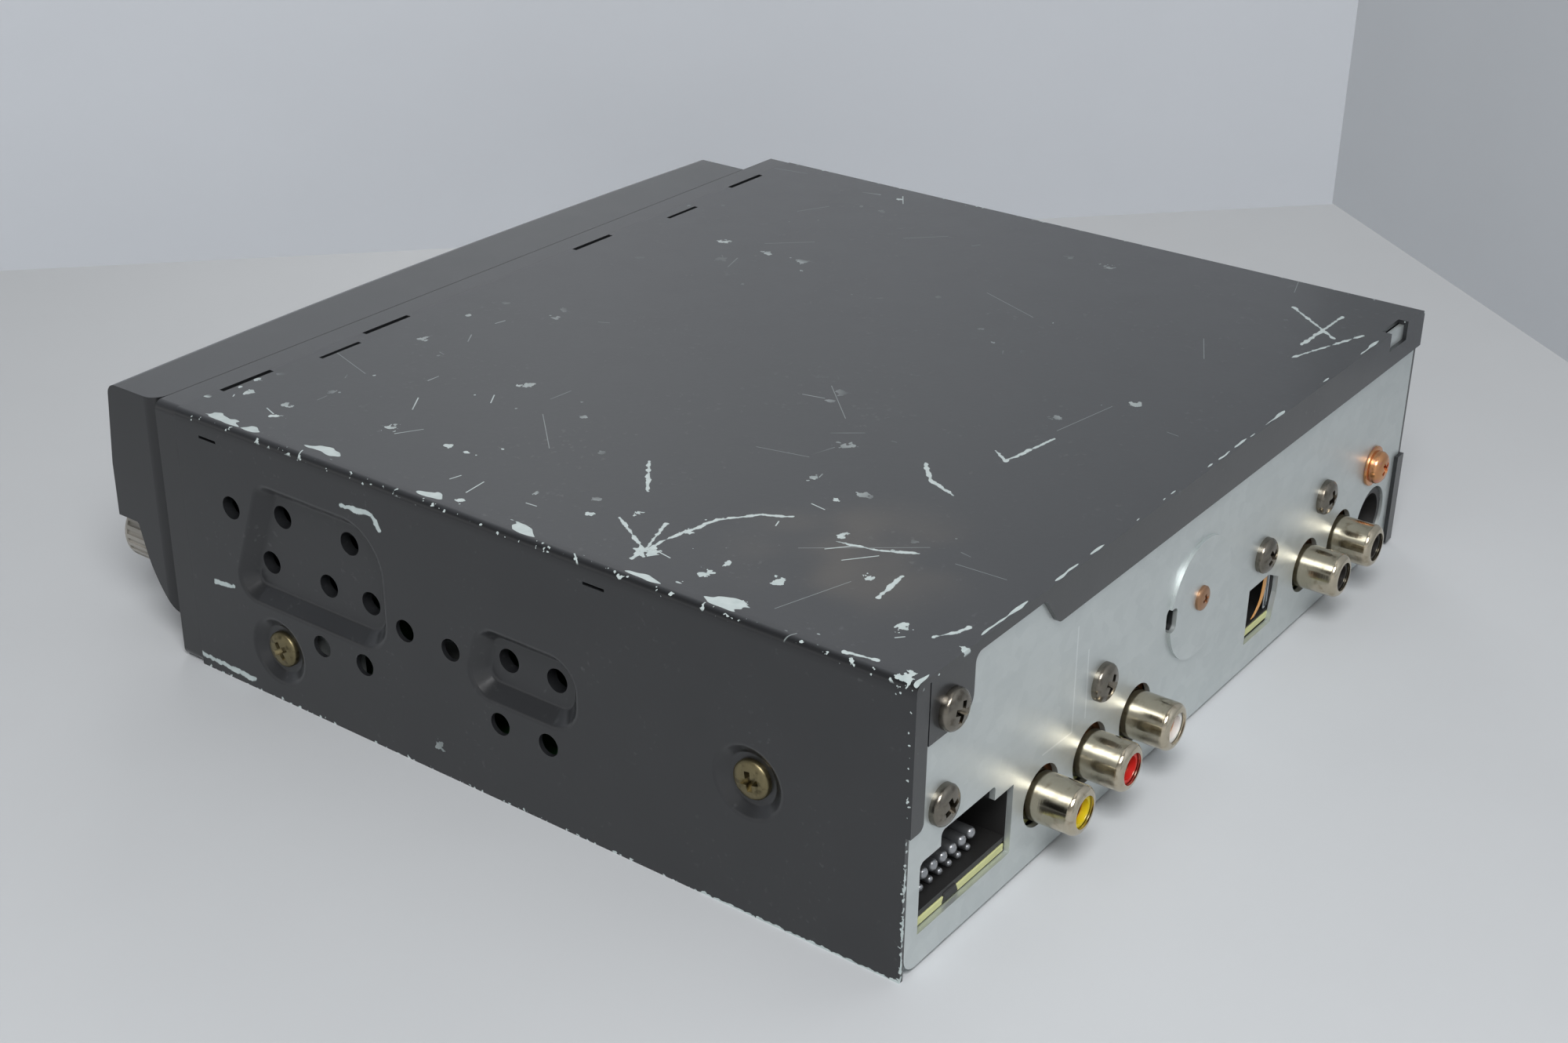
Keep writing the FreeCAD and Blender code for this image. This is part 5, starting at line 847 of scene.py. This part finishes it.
boss_screw = screw_head("disc_screw", 2.2, 0.95, 2.2)
boss_screw.data.transform(facing((0, 75.6, 25.2), to_rear, 15))
finished(boss_screw, "copper", "case", "boss_screw")

ground_screw = screw_head("ground_screw", 3.2, 2.3, 3.4)
washer = drum("washer", 48, 4.0, 0.6, -0.28)
pick(washer, lambda middle, normal: abs(normal.z) > 0.9)
bpy.ops.mesh.bevel(offset=0.15 * mm, segments=2)
done()
smooth(washer)
ground_screw = joined("ground_screw", [ground_screw, washer])
ground_screw.data.transform(facing((-74.2, 75.6, 22.1), to_rear, 40))
finished(ground_screw, "gold", "case", "ground_bolt")
in_place = [piece for piece in bpy.data.objects if "screw" in piece.name and "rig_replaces" in piece]
print("screws:", len(in_place))

# %% [markdown]
# ## The power pins
# Twelve round pins stand in the power socket, six thick above six thin, with ends rounded so that the
# plug finds its way. One of each is a cylinder whose end is bevelled round, and it is copied.

# %% Pins
def pin(name, radius, long):
    """A round pin whose tip is at the origin."""
    piece = drum(name, 24, radius, long, -long / 2)
    pick(piece, lambda middle, normal: normal.z > 0.9)
    bpy.ops.mesh.bevel(offset=radius * 0.8 * mm, segments=5)
    done()
    smooth(piece, 60)
    return piece


thick_pin = pin("thick_pin", 0.95, 8.4)
thin_pin = pin("thin_pin", 0.6, 8.0)
first_pin, pin_step = 66.0, 2.6
thick_tip, thick_row = 72.6, 12.4
thin_tip, thin_row = 72.0, 9.6
pins = []
for index in range(6):
    across = first_pin + pin_step * index
    pins.append(copied(thick_pin, "thick", facing((across, thick_tip, thick_row), to_rear)))
    pins.append(copied(thin_pin, "thin", facing((across, thin_tip, thin_row), to_rear)))
for spare in (thick_pin, thin_pin):
    bpy.data.objects.remove(spare)
finished(joined("power_socket_pins", pins), "steel", "case", "power_pins")
print("pins:", len(pins))

# %% [markdown]
# ## Keys with soft edges
# The moulded keys, buttons and window of the face have their shape in the solids, but a moulded edge is
# never sharp. A copy of the solid is merged, its flat faces are dissolved, and a bevel rounds the edges,
# which catches the light along them.

# %% Softer copies of the solids
def softened(name, slot, body, width):
    """A copy of a solid with its edges rounded by that width, which stands for the solid."""
    piece = merged_copy(name, name + "_soft")
    if piece.data.has_custom_normals:
        bpy.ops.mesh.customdata_custom_splitnormals_clear()
    modify(
        piece, "BEVEL", width=width * mm, segments=3, limit_method="ANGLE",
        angle_limit=math.radians(30), harden_normals=False)
    smooth(piece, 40)
    finished(piece, slot, body, name)
    return piece


soft_keys = [softened(f"key_{index}", "key_plastic", f"key_{index}", 0.45) for index in range(1, 7)]
soft_source = softened("source_key", "key_plastic", "source", 0.5)
soft_eject = softened("eject_button", "key_plastic", "eject", 0.35)
soft_rocker = softened("seek_rocker", "key_plastic", "rocker", 0.4)
softened("release_button", "key_plastic", "release", 0.35)
softened("display_window", "window", "faceplate", 0.25)

# %% [markdown]
# ## Printed numbers and marks
# The keys carry what such keys carry: the numbers 1 to 6 and the plain arrows for seek and eject,
# printed in pale grey. A number is a text object that is made a mesh, given a hair of thickness, turned
# to lie on its key and then treated as any other piece. The arrows are three-sided cylinders, and the
# source key carries a ring with a gap for a short stem.

# %% Marks
finishes["mark"] = moulded("printed_mark", (196, 200, 200), (212, 215, 214), 0.45, depth=0.002)
marks = []


def lay(piece, name, body, under, across, up):
    """Lays a mark made in the XY plane on the front of the piece under it."""
    settle(piece)
    before_front = Vector((across * mm, -0.2, up * mm))
    place, normal = under.ray_cast(before_front, Vector((0, 1, 0)))[1:3]
    piece.data.transform(facing((place + normal * 0.01 * mm) / mm, normal))
    piece.name = name
    coat(piece, "mark")
    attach(piece, body)
    marks.append(piece)


def number(text, size):
    """A printed number, made a mesh."""
    bpy.ops.object.select_all(action="DESELECT")
    bpy.ops.object.text_add()
    writing = bpy.context.object
    writing.data.body = text
    writing.data.size = size * mm
    writing.data.extrude = 0.02 * mm
    writing.data.align_x = "CENTER"
    writing.data.align_y = "CENTER"
    bpy.ops.object.convert(target="MESH")
    return bpy.context.object


def arrow(size, turn):
    """A flat triangle with its corners cut."""
    piece = drum("arrow", 3, size, 0.04)
    piece.data.transform(Matrix.Rotation(math.radians(turn), 4, "Z"))
    pick(piece, lambda middle, normal: abs(normal.z) > 0.9)
    bpy.ops.mesh.bevel(offset=0.08 * mm, segments=1)
    done()
    return piece


# %% Marks on the keys
first_key, key_step, key_up = -56, 22, 15.2
for index, key in enumerate(soft_keys):
    digit = index + 1
    lay(number(str(digit), 4.2), f"number_{digit}", f"key_{digit}", key, first_key + key_step * index, key_up)
rocker_middle, rocker_up, arrow_step = 64, 31.1, 1.5
for side in (-1, 1):
    for step in (0, 1):
        triangle = arrow(0.95, 90 * side + 180)
        triangle.data.transform(Matrix.Translation((side * step * arrow_step * mm, 0, 0)))
        across = rocker_middle + side * 7.5
        lay(triangle, f"seek_arrow_{side + 2}{step}", "rocker", soft_rocker, across, rocker_up)
triangle = arrow(1.0, 0)
triangle.data.transform(Matrix.Translation((0, 0.25 * mm, 0)))
bar = block("bar", (0, -0.85, 0), (1.9, 0.4, 0.04))
pick(bar, lambda middle, normal: normal.z > 0.9)
bpy.ops.mesh.inset(thickness=0.03 * mm)
done()
lay(joined("eject", [triangle, bar]), "eject_mark", "eject", soft_eject, 72, 40.2)
line_radius = 0.14
ring = start(
    "torus", "ring", major_radius=1.7 * mm, minor_radius=line_radius * mm,
    major_segments=40, minor_segments=8)
pick(ring, lambda middle, normal: middle.y > 1.2 * mm and abs(middle.x) < 0.75 * mm)
bpy.ops.mesh.delete(type="FACE")
done()
stem = start(
    "cylinder", "stem", vertices=8, radius=line_radius * mm, depth=1.7 * mm,
    rotation=(math.radians(90), 0, 0), location=(0, 1.2 * mm, 0))
lay(joined("source", [ring, stem]), "source_mark", "source", soft_source, -69.5, 31)
print("marks:", len(marks))

# %% [markdown]
# ## The display
# Behind the smoked window lies the glass of the display. Unlit, its segments still show as a faint
# grey green. One digit is seven bars with pointed ends, which are six-sided cylinders drawn out long,
# and the digits are copies of it. A row of small bars beside them is a level meter.

# %% Segments
finishes["segment"] = moulded("unlit_segment", (120, 140, 132), (136, 156, 146), 0.35, depth=0.002)
digit_high, digit_wide = 5.2, 2.9
bar_wide, bar_thick = 0.5, 0.06
glass_front, digits_up = -92.46, 31.1
to_front = (0, -1, 0)


def segment(long, turn, across, up):
    """A bar with pointed ends, turned and put in its place in the XY plane."""
    bar = drum("segment", 6, bar_wide / 2, bar_thick)
    pick(bar, lambda middle, normal: normal.x > 0.4)
    bpy.ops.transform.translate(value=(long / 2 * mm, 0, 0))
    done()
    pick(bar, lambda middle, normal: normal.x < -0.4)
    bpy.ops.transform.translate(value=(-long / 2 * mm, 0, 0))
    done()
    place = Matrix.Translation((across * mm, up * mm, 0))
    bar.data.transform(place @ Matrix.Rotation(math.radians(turn), 4, "Z"))
    return bar


half_wide, half_high = digit_wide / 2, digit_high / 2
bars = [segment(digit_wide * 0.62, 0, 0, up) for up in (-half_high, 0, half_high)]
for side in (-1, 1):
    for up in (-1, 1):
        bars.append(segment(digit_high * 0.34, 90, side * half_wide, up * half_high / 2))
digit = joined("digit", bars)
shapes = [
    copied(digit, "digit_copy", facing((across, glass_front, digits_up), to_front))
    for across in (-20, -15.4, -9.2, -4.6)]
for up in (-1.2, 1.2):
    dot = drum("dot", 12, 0.36, bar_thick)
    pick(dot, lambda middle, normal: normal.z > 0.9)
    bpy.ops.mesh.inset(thickness=0.1 * mm)
    done()
    dot.data.transform(facing((-12.3, glass_front, digits_up + up), to_front))
    shapes.append(dot)
for index in range(10):
    bar = segment(0.9 + index * 0.16, 90, 0, 0)
    bar.data.transform(facing((8 + index * 1.5, glass_front, 30.2 + index * 0.08), to_front))
    shapes.append(bar)
bpy.data.objects.remove(digit)
display_segments = joined("display_segments", shapes)
coat(display_segments, "segment")
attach(display_segments, "faceplate")
print("display segments:", len(display_segments.data.polygons), "faces")

# %% [markdown]
# ## Inside the rear openings
# Through the power opening a strip of the board's bare edge shows, pale yellow, with a black lug on it,
# and a shorter one shows at the foot of the square window. Above that one sees a black block, a bent
# strip of orange film and a grey plate, so the block there is hollowed out, and the film is a small bar
# whose end is extruded down and sideways, step by step.

# %% Board edge and lug
finishes["laminate"] = moulded("board_edge", (188, 192, 132), (212, 214, 160), 0.5, 0.3, 0.02)
finishes["film"] = moulded("orange_film", (196, 132, 62), (226, 168, 92), 0.25, 0.6, 0.01)
edge_place = Vector((72.0, 73.6, 7.0))
edge_long = 25.2
far_edge_long = 11.6
edge = block("edge", edge_place, (edge_long, 0.9, 1.3))
modify(edge, "BEVEL", width=0.12 * mm, segments=2)
edge.name = "board_edge_strip"
far_edge = copied(edge, "far_edge_strip")
take(far_edge)
bpy.ops.transform.resize(value=(far_edge_long / edge_long, 1, 1), center_override=edge_place * mm)
bpy.ops.transform.translate(value=(-100.0 * mm, 0, -0.05 * mm))
settle(far_edge)
finished(edge, "laminate", "case")
finished(far_edge, "laminate", "case")
lug = block("lug", (74.6, 73.7, 7.3), (4.6, 0.9, 1.7))
pick(lug, lambda middle, normal: normal.z > 0.9)
bpy.ops.transform.resize(value=(0.7, 1.0, 1.0))
done()
modify(lug, "BEVEL", width=0.2 * mm, segments=2)
lug.name = "board_edge_lug"
finished(lug, "black_plastic", "case")
print("at the board's edge:", [piece.name for piece in (edge, far_edge, lug)])

# %% The hollow block behind the window
hollow = merged_copy("switch_block", "window_block")
room = block("room", (-28, 72, 12.1), (11.6, 7, 8.4))
pick(room, lambda middle, normal: normal.y < -0.9)
bpy.ops.transform.resize(value=(0.9, 1, 0.85))
done()
modify(hollow, "BOOLEAN", object=room, operation="DIFFERENCE", solver="EXACT")
bpy.data.objects.remove(room)
smooth(hollow)
finished(hollow, "black_plastic", "case", "switch_block")
film = block("film", (-31.0, 73.9, 15.8), (1.5, 0.2, 0.4))
for over, down in ((0.1, -2.0), (0.3, -1.9), (0.7, -1.4), (1.1, -1.1), (1.2, -0.8)):
    near_lowest = min(corner.co.z for corner in film.data.vertices) + 0.2 * mm
    pick(film, lambda middle, normal: middle.z < near_lowest and normal.z < -0.5)
    bpy.ops.mesh.extrude_region_move(TRANSFORM_OT_translate={"value": (over * mm, -0.05 * mm, down * mm)})
    done()
modify(film, "BEVEL", width=0.06 * mm, segments=1)
modify(film, "SUBSURF", levels=2, render_levels=2)
smooth(film)
film.name = "window_film"
finished(film, "film", "case")
plate = block("plate", (-32.8, 73.5, 11.8), (1.6, 0.4, 6.8))
pick(plate, lambda middle, normal: normal.y > 0.9)
bpy.ops.mesh.inset(thickness=0.3 * mm)
bpy.ops.transform.translate(value=(0, -0.15 * mm, 0))
done()
modify(plate, "BEVEL", width=0.1 * mm, segments=2)
plate.name = "window_plate"
finished(plate, "motor_steel", "case")
print("in the window:", [piece.name for piece in (hollow, film, plate)])
